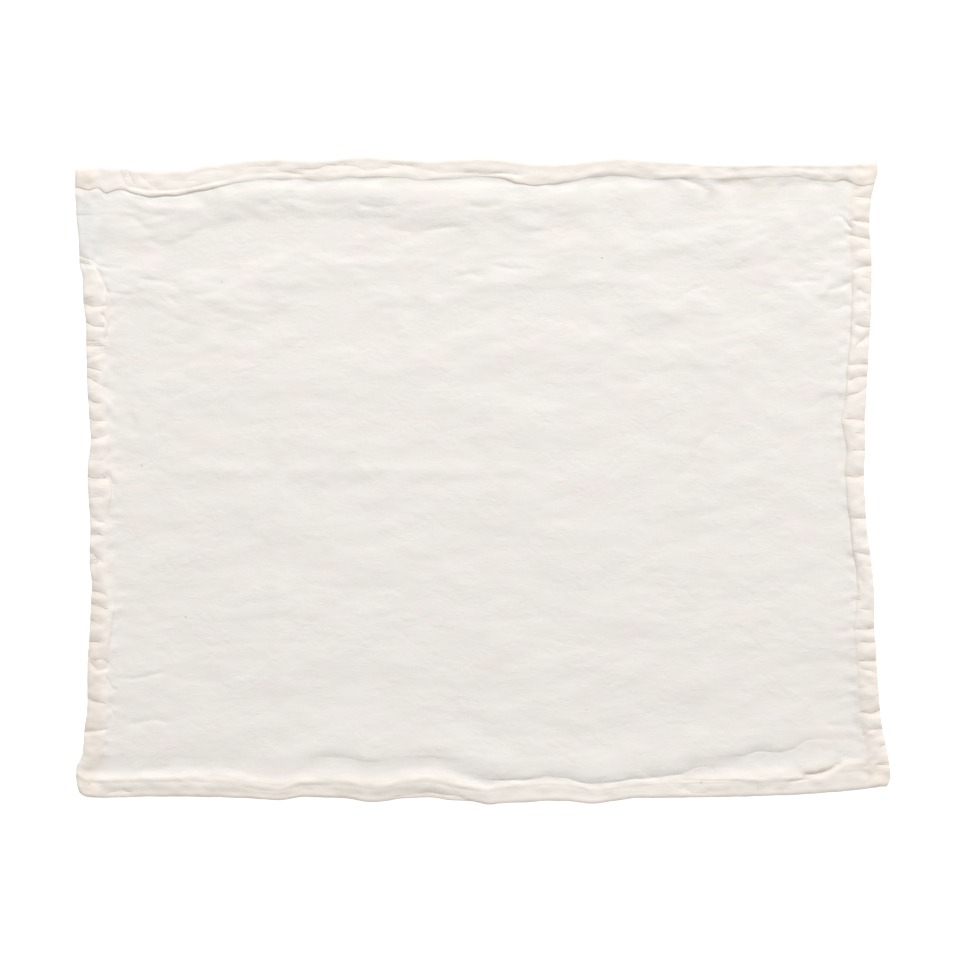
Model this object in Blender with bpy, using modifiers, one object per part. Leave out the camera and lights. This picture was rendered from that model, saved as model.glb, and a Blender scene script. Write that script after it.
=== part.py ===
"""A washed linen placemat that lies flat, with its four sides folded over and sewn down.

Metres, +Z up. X runs along the long sides and Y up the short ones. The origin lies under the
middle of the cloth, on the surface that it rests on. Sizes and tables are in millimetres.
Run it with blender --background --python part.py, or from Blender's text editor.
"""

from collections import namedtuple
from math import exp

import bpy
from mathutils.geometry import delaunay_2d_cdt

MM = 0.001  # metres

# Driving dimensions.
LENGTH = 500.0  # between the two side edges, before washing drew them in
DEPTH = 400.0  # between the top and the bottom edge
CLOTH = 1.1  # one layer of crinkled linen
HEM_STEP = 1.6  # how much thicker a hem is than the panel
EDGE_THICKNESS = 1.5  # at the rounded outer fold of a hem
EDGE_RISE = 0.6  # how high that fold's lower side stands off the surface
EDGE_ROUND = 1.7  # width of the rounded outer fold
RESTS_BELOW = 0.15  # where the folds would lift the cloth by less than this, it lies on the surface
CROWN = 5.0  # from the edge to a side hem's crown
LIP = 1.2  # width of the step from a hem down to the panel
RIDGE_FALL = 24.0  # from the crest of the ridge beside a hem to the flat panel
PUCKER_LIFT = 1.3  # height of the humps between the creases of a side hem
PUCKER_WIDTH = 2.6  # half the width of one crease
PUCKER_FADE = 9.0  # how far the humps run on into the panel
CORNER = 12.5  # the square at each end of a side hem, under the top or the bottom hem
CORNER_REST = 14.0  # from that square to the first full hump
PRESS_LIFT = 0.6  # height of the soft folds that pressing left in the panel
PRESS_WIDTH = 9.0  # half the width of one of them
PRESS_START = 25.0  # from the edge to where they begin

# Spacing of the mesh.
LONG_SPACING = 7.4  # along the top and the bottom hem
SIDE_SPACING = 3.7  # along the side hems
PANEL_SPACING = 18.0  # in the panel
SIDE_STRIP = 32.0  # from a side edge's straight line to the first upright of the long hems
END_STRIP = 20.0  # from the top or bottom line to the first level of the side hems
PANEL_GAP = 7.0  # between the ridges' outer lines and the panel's points
HEM_LINES = 4  # of a long hem's lines, those that run on across the side hems
CROSSING_STEPS = 24  # rounds that find where two uneven lines cross
MERGE = 0.01  # points closer than this are one
INSIDE_OUTLINE = 1  # the triangles wanted: those inside the outline

# A row for each section across the top hem. at is the place along the side from its middle. edge is
# how far the outline stands out from its straight line. hem is the hem's width, crest the distance
# from the edge to the top of the ridge beside the hem, and lift that ridge's height.
TopSection = namedtuple("TopSection", "at edge hem crest lift")
TOP = [
    TopSection(-254, -4.8, 12.5, 19.0, 0.0),
    TopSection(-237, -3.7, 13.0, 19.0, 0.3),
    TopSection(-221, -5.3, 13.5, 19.7, 1.2),
    TopSection(-204, -6.1, 15.0, 23.0, 1.8),
    TopSection(-187, -5.9, 16.0, 25.0, 2.0),
    TopSection(-175, -3.6, 15.6, 24.7, 2.2),
    TopSection(-159, -0.9, 13.9, 23.3, 2.3),
    TopSection(-144, 0.7, 13.0, 21.0, 2.4),
    TopSection(-128, 1.2, 12.8, 19.2, 2.4),
    TopSection(-108, 0.5, 13.0, 19.5, 2.4),
    TopSection(-95, 0.3, 12.6, 19.6, 2.4),
    TopSection(-75, 2.8, 13.4, 21.4, 2.4),
    TopSection(-52, 1.1, 11.8, 21.3, 2.4),
    TopSection(-30, 0.1, 12.4, 20.9, 2.4),
    TopSection(-7, 1.4, 11.6, 21.6, 2.4),
    TopSection(8, 1.3, 12.6, 23.6, 2.4),
    TopSection(25, -0.8, 14.0, 23.2, 2.4),
    TopSection(38, -1.7, 13.8, 21.2, 2.3),
    TopSection(60, -0.4, 12.0, 19.6, 2.2),
    TopSection(76, 0.7, 10.6, 19.4, 2.0),
    TopSection(86, 1.8, 11.4, 19.4, 1.9),
    TopSection(111, 0.0, 11.8, 18.2, 1.5),
    TopSection(131, -1.1, 12.5, 18.5, 1.0),
    TopSection(145, -2.4, 13.0, 19.0, 0.6),
    TopSection(173, -2.3, 13.0, 19.0, 0.4),
    TopSection(202, -2.3, 13.0, 19.0, 0.4),
    TopSection(226, -1.7, 12.6, 19.0, 0.2),
    TopSection(247, -0.9, 12.5, 19.0, 0.0),
]

# A row for each section across the bottom hem, as above. roll is how high the hem's inner fold
# stands up, and valley is the distance from the edge to the trough between it and the ridge.
BottomSection = namedtuple("BottomSection", "at edge hem roll valley crest lift")
BOTTOM = [
    BottomSection(-253, -6.2, 12.5, 0.0, 19.0, 26.0, 0.0),
    BottomSection(-249, -2.9, 12.5, 0.1, 19.5, 26.5, 0.1),
    BottomSection(-241, -1.7, 12.5, 0.2, 20.0, 27.0, 0.2),
    BottomSection(-224, -2.0, 12.5, 0.8, 21.0, 28.0, 0.6),
    BottomSection(-200, -2.4, 12.6, 1.2, 21.0, 28.0, 1.0),
    BottomSection(-174, -2.2, 12.7, 1.3, 21.4, 29.0, 1.0),
    BottomSection(-154, -1.7, 11.0, 1.3, 22.0, 29.0, 1.0),
    BottomSection(-139, -1.0, 9.2, 1.3, 22.6, 29.0, 1.0),
    BottomSection(-126, 0.0, 9.0, 1.2, 21.5, 29.0, 1.1),
    BottomSection(-113, -2.2, 10.5, 1.2, 19.5, 28.0, 1.3),
    BottomSection(-102, -1.9, 11.2, 1.3, 25.0, 33.0, 1.4),
    BottomSection(-86, -1.2, 11.5, 1.4, 24.8, 33.0, 1.4),
    BottomSection(-68, 1.1, 11.4, 1.4, 24.2, 32.0, 1.4),
    BottomSection(-52, -0.9, 11.9, 1.4, 23.0, 31.0, 1.4),
    BottomSection(-32, -1.7, 12.7, 1.4, 24.8, 33.0, 1.5),
    BottomSection(-22, -0.4, 12.0, 1.2, 24.5, 32.0, 1.6),
    BottomSection(-7, 0.6, 10.0, 0.8, 18.5, 26.0, 1.8),
    BottomSection(3, 2.8, 11.0, 0.3, 16.0, 24.0, 2.0),
    BottomSection(13, 1.9, 12.5, 0.0, 14.2, 22.0, 2.1),
    BottomSection(26, 1.3, 13.0, 0.0, 14.6, 22.0, 2.1),
    BottomSection(41, 0.3, 13.2, 0.0, 14.8, 22.0, 2.1),
    BottomSection(53, 0.5, 12.5, 0.0, 14.2, 21.0, 2.0),
    BottomSection(69, 2.0, 10.8, 0.0, 12.4, 20.0, 2.0),
    BottomSection(82, 0.4, 10.6, 0.0, 12.2, 19.0, 2.0),
    BottomSection(96, -1.4, 10.6, 0.0, 12.2, 20.0, 2.0),
    BottomSection(111, -1.6, 11.5, 0.2, 13.4, 22.0, 2.0),
    BottomSection(125, -1.7, 12.0, 0.5, 15.5, 24.0, 1.9),
    BottomSection(141, -1.9, 12.0, 0.9, 20.8, 29.0, 1.8),
    BottomSection(161, -2.3, 12.0, 1.2, 25.5, 33.0, 1.7),
    BottomSection(178, -3.0, 11.5, 1.3, 29.5, 37.0, 1.4),
    BottomSection(194, -3.3, 12.0, 1.4, 32.0, 40.0, 1.0),
    BottomSection(211, -4.7, 13.5, 1.4, 33.0, 40.0, 0.6),
    BottomSection(229, -5.9, 15.0, 0.8, 32.0, 40.0, 0.2),
    BottomSection(250, -8.7, 14.0, 0.0, 30.0, 38.0, 0.0),
]

# A row for each section across a side hem, from the bottom up.
SideSection = namedtuple("SideSection", "at edge hem")
LEFT = [
    SideSection(-194, 2.4, 12.5),
    SideSection(-188, 3.7, 12.5),
    SideSection(-179, 3.6, 13.0),
    SideSection(-171, 0.2, 13.5),
    SideSection(-154, -1.3, 15.0),
    SideSection(-142, -2.8, 14.0),
    SideSection(-112, -3.2, 12.6),
    SideSection(-94, -4.6, 14.6),
    SideSection(-79, -5.1, 14.6),
    SideSection(-64, -5.6, 11.5),
    SideSection(-49, -4.2, 11.5),
    SideSection(-33, -4.9, 11.5),
    SideSection(-18, -4.2, 12.5),
    SideSection(-8, -3.5, 15.0),
    SideSection(8, -3.1, 12.8),
    SideSection(23, -4.9, 12.0),
    SideSection(38, -4.3, 10.9),
    SideSection(60, -2.8, 11.6),
    SideSection(85, -2.2, 11.8),
    SideSection(97, -2.0, 14.4),
    SideSection(112, -0.6, 15.0),
    SideSection(120, -0.1, 14.6),
    SideSection(130, 0.3, 10.6),
    SideSection(134, 1.8, 9.6),
    SideSection(143, 2.2, 9.6),
    SideSection(155, 2.8, 12.0),
    SideSection(167, 4.1, 12.5),
    SideSection(185, 4.6, 12.5),
    SideSection(197, 4.3, 12.5),
]
RIGHT = [
    SideSection(-191, 2.8, 12.5),
    SideSection(-187, 4.6, 12.5),
    SideSection(-179, 4.4, 13.0),
    SideSection(-170, 3.2, 13.0),
    SideSection(-157, 0.5, 13.0),
    SideSection(-142, -1.6, 13.0),
    SideSection(-112, -3.5, 12.9),
    SideSection(-92, -4.9, 13.5),
    SideSection(-79, -5.0, 12.0),
    SideSection(-67, -5.4, 10.3),
    SideSection(-56, -6.2, 10.3),
    SideSection(-46, -7.3, 10.9),
    SideSection(-37, -8.8, 11.0),
    SideSection(-24, -10.0, 10.9),
    SideSection(0, -11.4, 11.6),
    SideSection(19, -10.9, 11.9),
    SideSection(38, -10.9, 14.4),
    SideSection(53, -10.1, 13.2),
    SideSection(72, -9.1, 13.2),
    SideSection(88, -8.1, 12.4),
    SideSection(104, -7.1, 12.5),
    SideSection(120, -6.7, 12.6),
    SideSection(137, -6.7, 12.9),
    SideSection(150, -7.6, 13.0),
    SideSection(161, -8.1, 13.0),
    SideSection(177, -6.9, 13.0),
    SideSection(187, -4.5, 13.0),
    SideSection(192, -3.2, 13.0),
    SideSection(199, -3.2, 13.0),
]

# A row for each crease across a side hem, with how deep it is as a share of the humps' height.
Crease = namedtuple("Crease", "at depth")
LEFT_CREASES = [
    Crease(-156, 0.7),
    Crease(-137, 0.8),
    Crease(-116, 1.0),
    Crease(-100, 0.8),
    Crease(-89, 0.9),
    Crease(-78, 0.9),
    Crease(-69, 0.8),
    Crease(-62, 0.9),
    Crease(-49, 1.0),
    Crease(-34, 0.8),
    Crease(-25, 0.9),
    Crease(-10, 0.5),
    Crease(1, 1.0),
    Crease(13, 0.6),
    Crease(26, 0.9),
    Crease(39, 0.9),
    Crease(50, 0.9),
    Crease(62, 1.0),
    Crease(71, 0.8),
    Crease(84, 0.9),
    Crease(98, 1.0),
    Crease(110, 0.9),
    Crease(118, 0.6),
    Crease(134, 1.0),
]
RIGHT_CREASES = [
    Crease(-177, 0.5),
    Crease(-164, 0.5),
    Crease(-155, 0.8),
    Crease(-144, 0.9),
    Crease(-119, 0.8),
    Crease(-112, 0.9),
    Crease(-101, 0.8),
    Crease(-93, 0.9),
    Crease(-81, 0.6),
    Crease(-53, 0.6),
    Crease(-45, 0.9),
    Crease(-23, 1.0),
    Crease(4, 1.0),
    Crease(19, 0.9),
    Crease(29, 0.9),
    Crease(38, 1.0),
    Crease(56, 0.9),
    Crease(64, 0.8),
    Crease(73, 0.9),
    Crease(79, 0.5),
    Crease(88, 0.9),
    Crease(96, 0.9),
    Crease(109, 0.6),
    Crease(118, 0.9),
    Crease(126, 0.5),
    Crease(133, 0.9),
    Crease(145, 0.5),
    Crease(152, 0.9),
    Crease(161, 0.9),
    Crease(177, 0.8),
]

# Folds that pressing left in the panel. One runs along X and the others along Y.
PRESSED_ACROSS = [6.0]
PRESSED_UP = [-127.0, 5.0, 136.0]

LINEN = (0.87, 0.84, 0.79, 1.0)
LINEN_ROUGHNESS = 0.92


def clear_scene():
    """Remove whatever the file holds."""
    for item in list(bpy.data.objects):
        bpy.data.objects.remove(item, do_unlink=True)


def read(rows, name, at):
    """A column's value at a place along its side, on a smooth curve through the table's rows."""
    places = [row.at for row in rows]
    values = [getattr(row, name) for row in rows]
    if at <= places[0]:
        return values[0]
    if at >= places[-1]:
        return values[-1]
    i = next(k for k in range(len(rows) - 1) if at <= places[k + 1])

    def slope(k):
        low, high = max(k - 1, 0), min(k + 1, len(rows) - 1)
        return (values[high] - values[low]) / (places[high] - places[low])

    span = places[i + 1] - places[i]
    t = (at - places[i]) / span
    start = (1 + 2 * t) * (1 - t) ** 2 * values[i] + t * (1 - t) ** 2 * span * slope(i)
    end = t * t * (3 - 2 * t) * values[i + 1] - t * t * (1 - t) * span * slope(i + 1)
    return start + end


def smooth(t):
    """From 0 to 1 with flat ends."""
    t = min(max(t, 0.0), 1.0)
    return t * t * (3 - 2 * t)


# The outline: where each edge lies, at a place along its side.


def top_edge(x):
    return DEPTH / 2 + read(TOP, "edge", x)


def bottom_edge(x):
    return -DEPTH / 2 - read(BOTTOM, "edge", x)


def left_edge(y):
    return -LENGTH / 2 - read(LEFT, "edge", y)


def right_edge(y):
    return LENGTH / 2 + read(RIGHT, "edge", y)


def distances(x, y):
    """How far a point lies in from the left, right, top and bottom edge."""
    return x - left_edge(y), right_edge(y) - x, top_edge(x) - y, y - bottom_edge(x)


# The depths in from each edge at which the surface bends.


def top_depths(x):
    foot, crest = read(TOP, "hem", x) + LIP, read(TOP, "crest", x)
    slope = [foot, (foot + crest) / 2, crest]
    return [0, EDGE_ROUND, foot - LIP, *slope, crest + RIDGE_FALL / 2, crest + RIDGE_FALL]


def bottom_depths(x):
    hem, valley, crest = (read(BOTTOM, name, x) for name in ("hem", "valley", "crest"))
    slope = [valley, (valley + crest) / 2, crest]
    return [0, EDGE_ROUND, hem, hem + LIP, *slope, crest + RIDGE_FALL / 2, crest + RIDGE_FALL]


def side_depths(hem):
    return [0, EDGE_ROUND, CROWN, hem, hem + LIP, hem + PUCKER_FADE]


def left_depths(y):
    return side_depths(read(LEFT, "hem", y))


def right_depths(y):
    return side_depths(read(RIGHT, "hem", y))


# The folds: how high the cloth's lower face stands off the surface.


def on_stops(stops, d):
    """The height at distance d on a soft line through stops of (distance, height)."""
    for (near, low), (far, high) in zip(stops, stops[1:]):
        if d <= far:
            return low + (high - low) * smooth((d - near) / (far - near))
    return stops[-1][1]


def top_ridge(x, d):
    """The panel's ridge beside the top hem."""
    foot, crest = read(TOP, "hem", x) + LIP, read(TOP, "crest", x)
    return on_stops([(0, 0), (foot, 0), (crest, read(TOP, "lift", x)), (crest + RIDGE_FALL, 0)], d)


def bottom_ridge(x, d):
    """The bottom hem's raised inner fold, the trough beside it and the panel's ridge."""
    crest = read(BOTTOM, "crest", x)
    stops = [(0, 0), (read(BOTTOM, "hem", x), read(BOTTOM, "roll", x)), (read(BOTTOM, "valley", x), 0)]
    stops += [(crest, read(BOTTOM, "lift", x)), (crest + RIDGE_FALL, 0)]
    return on_stops(stops, d)


def puckers(rows, creases, y, d, end):
    """A side hem's humps between its creases. They fade into the panel and towards the corners."""
    drawn = sum(crease.depth * exp(-(((y - crease.at) / PUCKER_WIDTH) ** 2)) for crease in creases)
    across = 1 - smooth((d - read(rows, "hem", y)) / PUCKER_FADE)
    return PUCKER_LIFT * (1 - min(drawn, 1.0)) * across * smooth((end - CORNER) / CORNER_REST)


def pressed(x, y, d):
    """The soft folds in the panel."""
    folds = [y - place for place in PRESSED_ACROSS] + [x - place for place in PRESSED_UP]
    return PRESS_LIFT * max(exp(-((fold / PRESS_WIDTH) ** 2)) for fold in folds) * smooth(
        (d - PRESS_START) / PRESS_START
    )


def lower_face(x, y):
    """How high the cloth's lower face stands at a point."""
    left, right, top, bottom = distances(x, y)
    edge, end = min(left, right, top, bottom), min(top, bottom)
    lifted = max(
        EDGE_RISE * (1 - edge / EDGE_ROUND),
        top_ridge(x, top),
        bottom_ridge(x, bottom),
        puckers(LEFT, LEFT_CREASES, y, left, end),
        puckers(RIGHT, RIGHT_CREASES, y, right, end),
        pressed(x, y, edge),
    )
    return lifted if lifted > RESTS_BELOW else 0.0


def folded(width, d):
    """1 on a hem of that width and 0 on the panel."""
    return 1 - min(max((d - width) / LIP, 0.0), 1.0)


def thickness(x, y):
    """The cloth's thickness at a point, with the hems' layers and their rounded outer fold."""
    left, right, top, bottom = distances(x, y)
    side = max(folded(read(LEFT, "hem", y), left), folded(read(RIGHT, "hem", y), right))
    end = max(folded(read(TOP, "hem", x), top), folded(read(BOTTOM, "hem", x), bottom))
    full = CLOTH + HEM_STEP * (side + end)
    rounded = max(0.0, 1 - min(left, right, top, bottom) / EDGE_ROUND)
    return full + (EDGE_THICKNESS - full) * rounded


# The layout, seen from above.


def spaced(stops, spacing):
    """The stops, and between each two as many more as keep them closer than the spacing."""
    places = []
    for low, high in zip(stops, stops[1:]):
        count = int((high - low) / spacing) + 1
        places += [low + (high - low) * k / count for k in range(count)]
    return [*places, stops[-1]]


def lines(edge, inward, depths):
    """A line along an edge at each of its depths, as a function of the place along the side."""
    return [lambda at, k=k: edge(at) + inward * depths(at)[k] for k in range(len(depths(0.0)))]


def straight(places):
    """Straight lines at these places."""
    return [lambda at, place=place: place for place in places]


def crossing(upright, level):
    """Where a line up the cloth crosses one along it."""
    x = y = 0.0
    for _ in range(CROSSING_STEPS):
        x = upright(y)
        y = level(x)
    return x, y


def lay_out():
    """The cloth's points and its outline's, dense in the hems and wide apart in the panel."""
    left, right = lines(left_edge, 1, left_depths), lines(right_edge, -1, right_depths)
    top, bottom = lines(top_edge, -1, top_depths), lines(bottom_edge, 1, bottom_depths)
    x_end, y_end = LENGTH / 2 - SIDE_STRIP, DEPTH / 2 - END_STRIP
    long_places = spaced([-x_end, x_end], LONG_SPACING)
    uprights = straight(long_places)

    points, index = [], {}

    def add(upright, level):
        if (upright, level) not in index:
            index[upright, level] = len(points)
            points.append(crossing(upright, level))
        return index[upright, level]

    for level in [*top, *bottom]:
        for upright in uprights:
            add(upright, level)
    side_levels = []
    for sides, creases in ((left, LEFT_CREASES), (right, RIGHT_CREASES)):
        places = spaced(sorted({-y_end, y_end} | {crease.at for crease in creases}), SIDE_SPACING)
        levels = [*bottom[:HEM_LINES], *straight(places), *reversed(top[:HEM_LINES])]
        side_levels.append(levels)
        for upright in sides:
            for level in levels:
                add(upright, level)

    pressed_x = {place + shift for place in PRESSED_UP for shift in (-PRESS_WIDTH, 0, PRESS_WIDTH)}
    pressed_y = {place + shift for place in PRESSED_ACROSS for shift in (-PRESS_WIDTH, 0, PRESS_WIDTH)}
    panel_x = spaced(sorted({long_places[0], long_places[-1]} | pressed_x), PANEL_SPACING)
    panel_y = spaced(sorted({-y_end, y_end} | pressed_y), PANEL_SPACING)
    for x in panel_x:
        low, high = bottom[-1](x) + PANEL_GAP, top[-1](x) - PANEL_GAP
        points.extend((x, y) for y in panel_y if low < y < high)

    across = [*left, *uprights, *reversed(right)]
    outline = [add(upright, bottom[0]) for upright in across]
    outline += [add(right[0], level) for level in side_levels[1][1:]]
    outline += [add(upright, top[0]) for upright in reversed(across[:-1])]
    outline += [add(left[0], level) for level in reversed(side_levels[0][1:-1])]
    return points, outline


def linen():
    """The washed linen's material."""
    material = bpy.data.materials.new("washed_linen")
    material.use_nodes = True
    shader = material.node_tree.nodes["Principled BSDF"]
    shader.inputs["Base Color"].default_value = LINEN
    shader.inputs["Roughness"].default_value = LINEN_ROUGHNESS
    shader.inputs["Metallic"].default_value = 0.0
    return material


def make_cloth(collection):
    """The cloth's lower face from its points, with Solidify for its layers."""
    points, outline = lay_out()
    flat = delaunay_2d_cdt(points, [], [outline], INSIDE_OUTLINE, MERGE)
    low_x, high_x = min(p.x for p in flat[0]), max(p.x for p in flat[0])
    low_y, high_y = min(p.y for p in flat[0]), max(p.y for p in flat[0])
    middle_x, middle_y = (low_x + high_x) / 2, (low_y + high_y) / 2

    mesh = bpy.data.meshes.new("placemat_cloth")
    places = [((p.x - middle_x) * MM, (p.y - middle_y) * MM, lower_face(p.x, p.y) * MM) for p in flat[0]]
    mesh.from_pydata(places, [], flat[2])
    mesh.materials.append(linen())
    mesh.shade_smooth()
    cloth = bpy.data.objects.new("placemat_cloth", mesh)
    collection.objects.link(cloth)

    thickest = CLOTH + 2 * HEM_STEP
    layers = cloth.vertex_groups.new(name="layers")
    for i, p in enumerate(flat[0]):
        layers.add([i], thickness(p.x, p.y) / thickest, "REPLACE")
    solidify = cloth.modifiers.new("Layers", "SOLIDIFY")
    solidify.thickness = thickest * MM
    solidify.offset = 1.0
    solidify.vertex_group = layers.name
    return cloth


def main():
    clear_scene()
    collection = bpy.data.collections.new("fabric_placemat")
    bpy.context.scene.collection.children.link(collection)
    make_cloth(collection)


main()
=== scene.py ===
"""The looks of a washed linen placemat: its crinkled cloth, puckered hems, seams and corner tacks.

It is laid out as an add-on and run as a script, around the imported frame. Tables are in millimetres
on the cloth seen from above, with +Y up the picture. Properties and meshes are in metres.
"""

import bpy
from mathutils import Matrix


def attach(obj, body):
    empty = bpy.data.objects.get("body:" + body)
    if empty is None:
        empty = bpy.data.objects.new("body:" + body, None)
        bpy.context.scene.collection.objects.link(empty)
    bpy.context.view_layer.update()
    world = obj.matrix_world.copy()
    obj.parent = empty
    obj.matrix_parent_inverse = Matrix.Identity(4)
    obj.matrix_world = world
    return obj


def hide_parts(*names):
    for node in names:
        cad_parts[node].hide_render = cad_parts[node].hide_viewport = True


bl_info = {
    "name": "Washed Linen Placemat",
    "version": (1, 0, 0),
    "blender": (4, 5, 0),
    "location": "View3D > Sidebar > Placemat",
    "description": "Lays a washed linen placemat, sews its hems and sets it on a pale stage",
    "category": "Add Mesh",
}

from collections import namedtuple
from math import cos, pi, radians, sin

import bpy
import numpy as np
from bpy.props import FloatProperty, FloatVectorProperty, IntProperty, PointerProperty
from mathutils import Matrix, Vector

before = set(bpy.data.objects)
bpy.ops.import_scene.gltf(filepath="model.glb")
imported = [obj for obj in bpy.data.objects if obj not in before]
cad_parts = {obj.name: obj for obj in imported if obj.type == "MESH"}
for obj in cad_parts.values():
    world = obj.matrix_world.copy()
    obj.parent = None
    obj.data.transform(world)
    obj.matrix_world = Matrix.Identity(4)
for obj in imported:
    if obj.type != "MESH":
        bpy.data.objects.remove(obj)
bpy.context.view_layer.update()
CLOTH_NODE = "placemat_cloth"
MM = 0.001  # metres

# The cloth's plan.
LENGTH = 500.0  # between the side edges' straight lines
DEPTH = 400.0  # between the top and the bottom edge's
FACE = (-1.6, 0.2)  # the place that the camera looks at, on the tables' own axes
INNER = 24.0  # from an edge to the first of the panel's own mesh lines
COLUMN = 2.4  # middling spacing of the mesh across the panel, along X
ROW = 1.25  # and along Y
CLOSER = 0.3  # how much closer its lines are beside the hems, and wider in the middle
CROSSING_STEPS = 12  # rounds that find where two uneven lines cross
LATTICE = 300  # points across the grid of the hills, enough for the whole cloth
HILL_HEIGHT = 1.5  # brings those to about -1 to 1
SEED_SHIFT = (13.7, 7.3)  # how far apart two seeds take their noise in a material
EDGE_POINTS = 1001  # along each edge, to find the outline's box

# The hems.
CORNER = 12.5  # the square at each end of a side hem, under the top or the bottom hem
CORNER_REST = 12.0  # from that square to the side hem's full height
CORNER_SOFT = 5.0  # how far the side hem's inner step spreads under the hem that covers it
HIDDEN_SOFT = 9.0  # and where the panel's fullness hides it
HIDDEN_LONG = 6.5  # the same for the long hems
TOP_FOLD = 0.8  # the table's share, in how sharply the top hem's inner fold shows
BOTTOM_FOLD = 0.04  # how sharply the bottom hem's shows
BOTTOM_SOFT = (4.5, 0.3)  # how wide its soft step is, and how much wider by the trough's distance
BOTTOM_STEP = (-1.2, 0.35)  # where that step's middle is from the fold, in the same way
SEAM = 3.2  # from a hem's inner fold to its seam
SEAM_DEPTH = 0.36  # how deep the seam draws the hem in
SIDE_SEAM = 0.3  # the side hems' share of that
BOTTOM_SEAM = 0.35  # and the bottom hem's
RAGGED_EDGE = 0.22  # how far a hem's outer fold strays from its line
RAGGED_FOLD = 0.75  # and its inner fold
RAGGED_LONG = 0.8  # how much the long hems' seams and the trough's crease vary along them

# The fullness and the folds.
PUCKER_LIFT = 1.3  # how far the side hems stand up between their creases
PUCKER_FADE = 9.0  # how far that runs on into the panel
OUTER_CROWN = 0.25  # that height at both folds of the hem, as a share of its middle's
LIP = 1.2  # from a hem's inner fold to the foot of the ridge beside it
RIDGE_FALL = 26.0  # from a ridge's crest to the flat panel
RIDGE_SHARE = 0.76  # of the tables' heights, what the cloth's face shows
CREST_STRAY = 0.8  # how far the ridges' crests stray from their lines
CREST_ROUND = 0.9  # how softly a crest or a trough turns
DROP = 6.0  # from the crest beside the bottom hem down to the trough
VALLEY_FLOOR = 0.35  # the trough's own height, as a share of the ridge's
FLOOR_SOFT = 5.0  # how far the trough's floor runs down into the hem
TROUGH_DEEP = 0.28  # the sharp crease in that trough
TROUGH_WIDE = 0.9
PRESS_LIFT = 0.5  # height of the soft folds that pressing left in the panel
PRESS_WIDTH = 5.5  # half the width of one
PRESS_END = 40.0  # over which one dies away
SMOOTH_LUMPS = 0.3  # what the left hem's smooth stretch keeps of its lumps
SMOOTH_PUCKERS = 0.2  # and of its fullness
SMOOTH_END = 8.0  # over which it ends
LEAST = 0.55  # of the cloth's thickness, what the deepest crease leaves

# The creases, and the shade painted into them.
SHARP = 0.58  # a crease's fold, as a share of its depth
CUSP = 0.25  # how round the bottom of its sides is, as a share of its width
CUSHION = 1.5  # how far its rounded sides reach, in its widths
WEDGE = 0.7  # how much narrower a side hem's creases are at its inner fold
CREASE_TAPER = 0.5  # and how much shallower
# A crease's mark is a dent in the height and painted shade in the colour.
LINE_REACH = 1.5  # from a crease's own line to where its mark begins to fade
MOST_LINED = 1.1  # the strongest mark in a crease
PANEL_LINED = 0.15  # the marks' strength in the single layer, beside the hems'
# Painted shade: how far the colour darkens towards the shade colour in the creases and along the folds.
DEEP_SHADE = 0.45  # how far the creases' colour turns to the shade
DEEP_FROM = (0.25, 1.5)  # a crease's depth where that begins, and how much more gives all of it
FOLD_SHADE = 0.3  # how far it turns along the sharp inner folds
FOLD_REACH = 0.8  # how far from the fold that goes


def table(text):
    """A text table's columns as arrays, by the names in its first line."""
    names, *rows = text.strip().splitlines()
    return dict(zip(names.split(), np.array([row.split() for row in rows], float).T))


def rows_of(kind, *rows):
    """A list of rows, each as one of a kind."""
    return [kind(*row) for row in rows]
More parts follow.
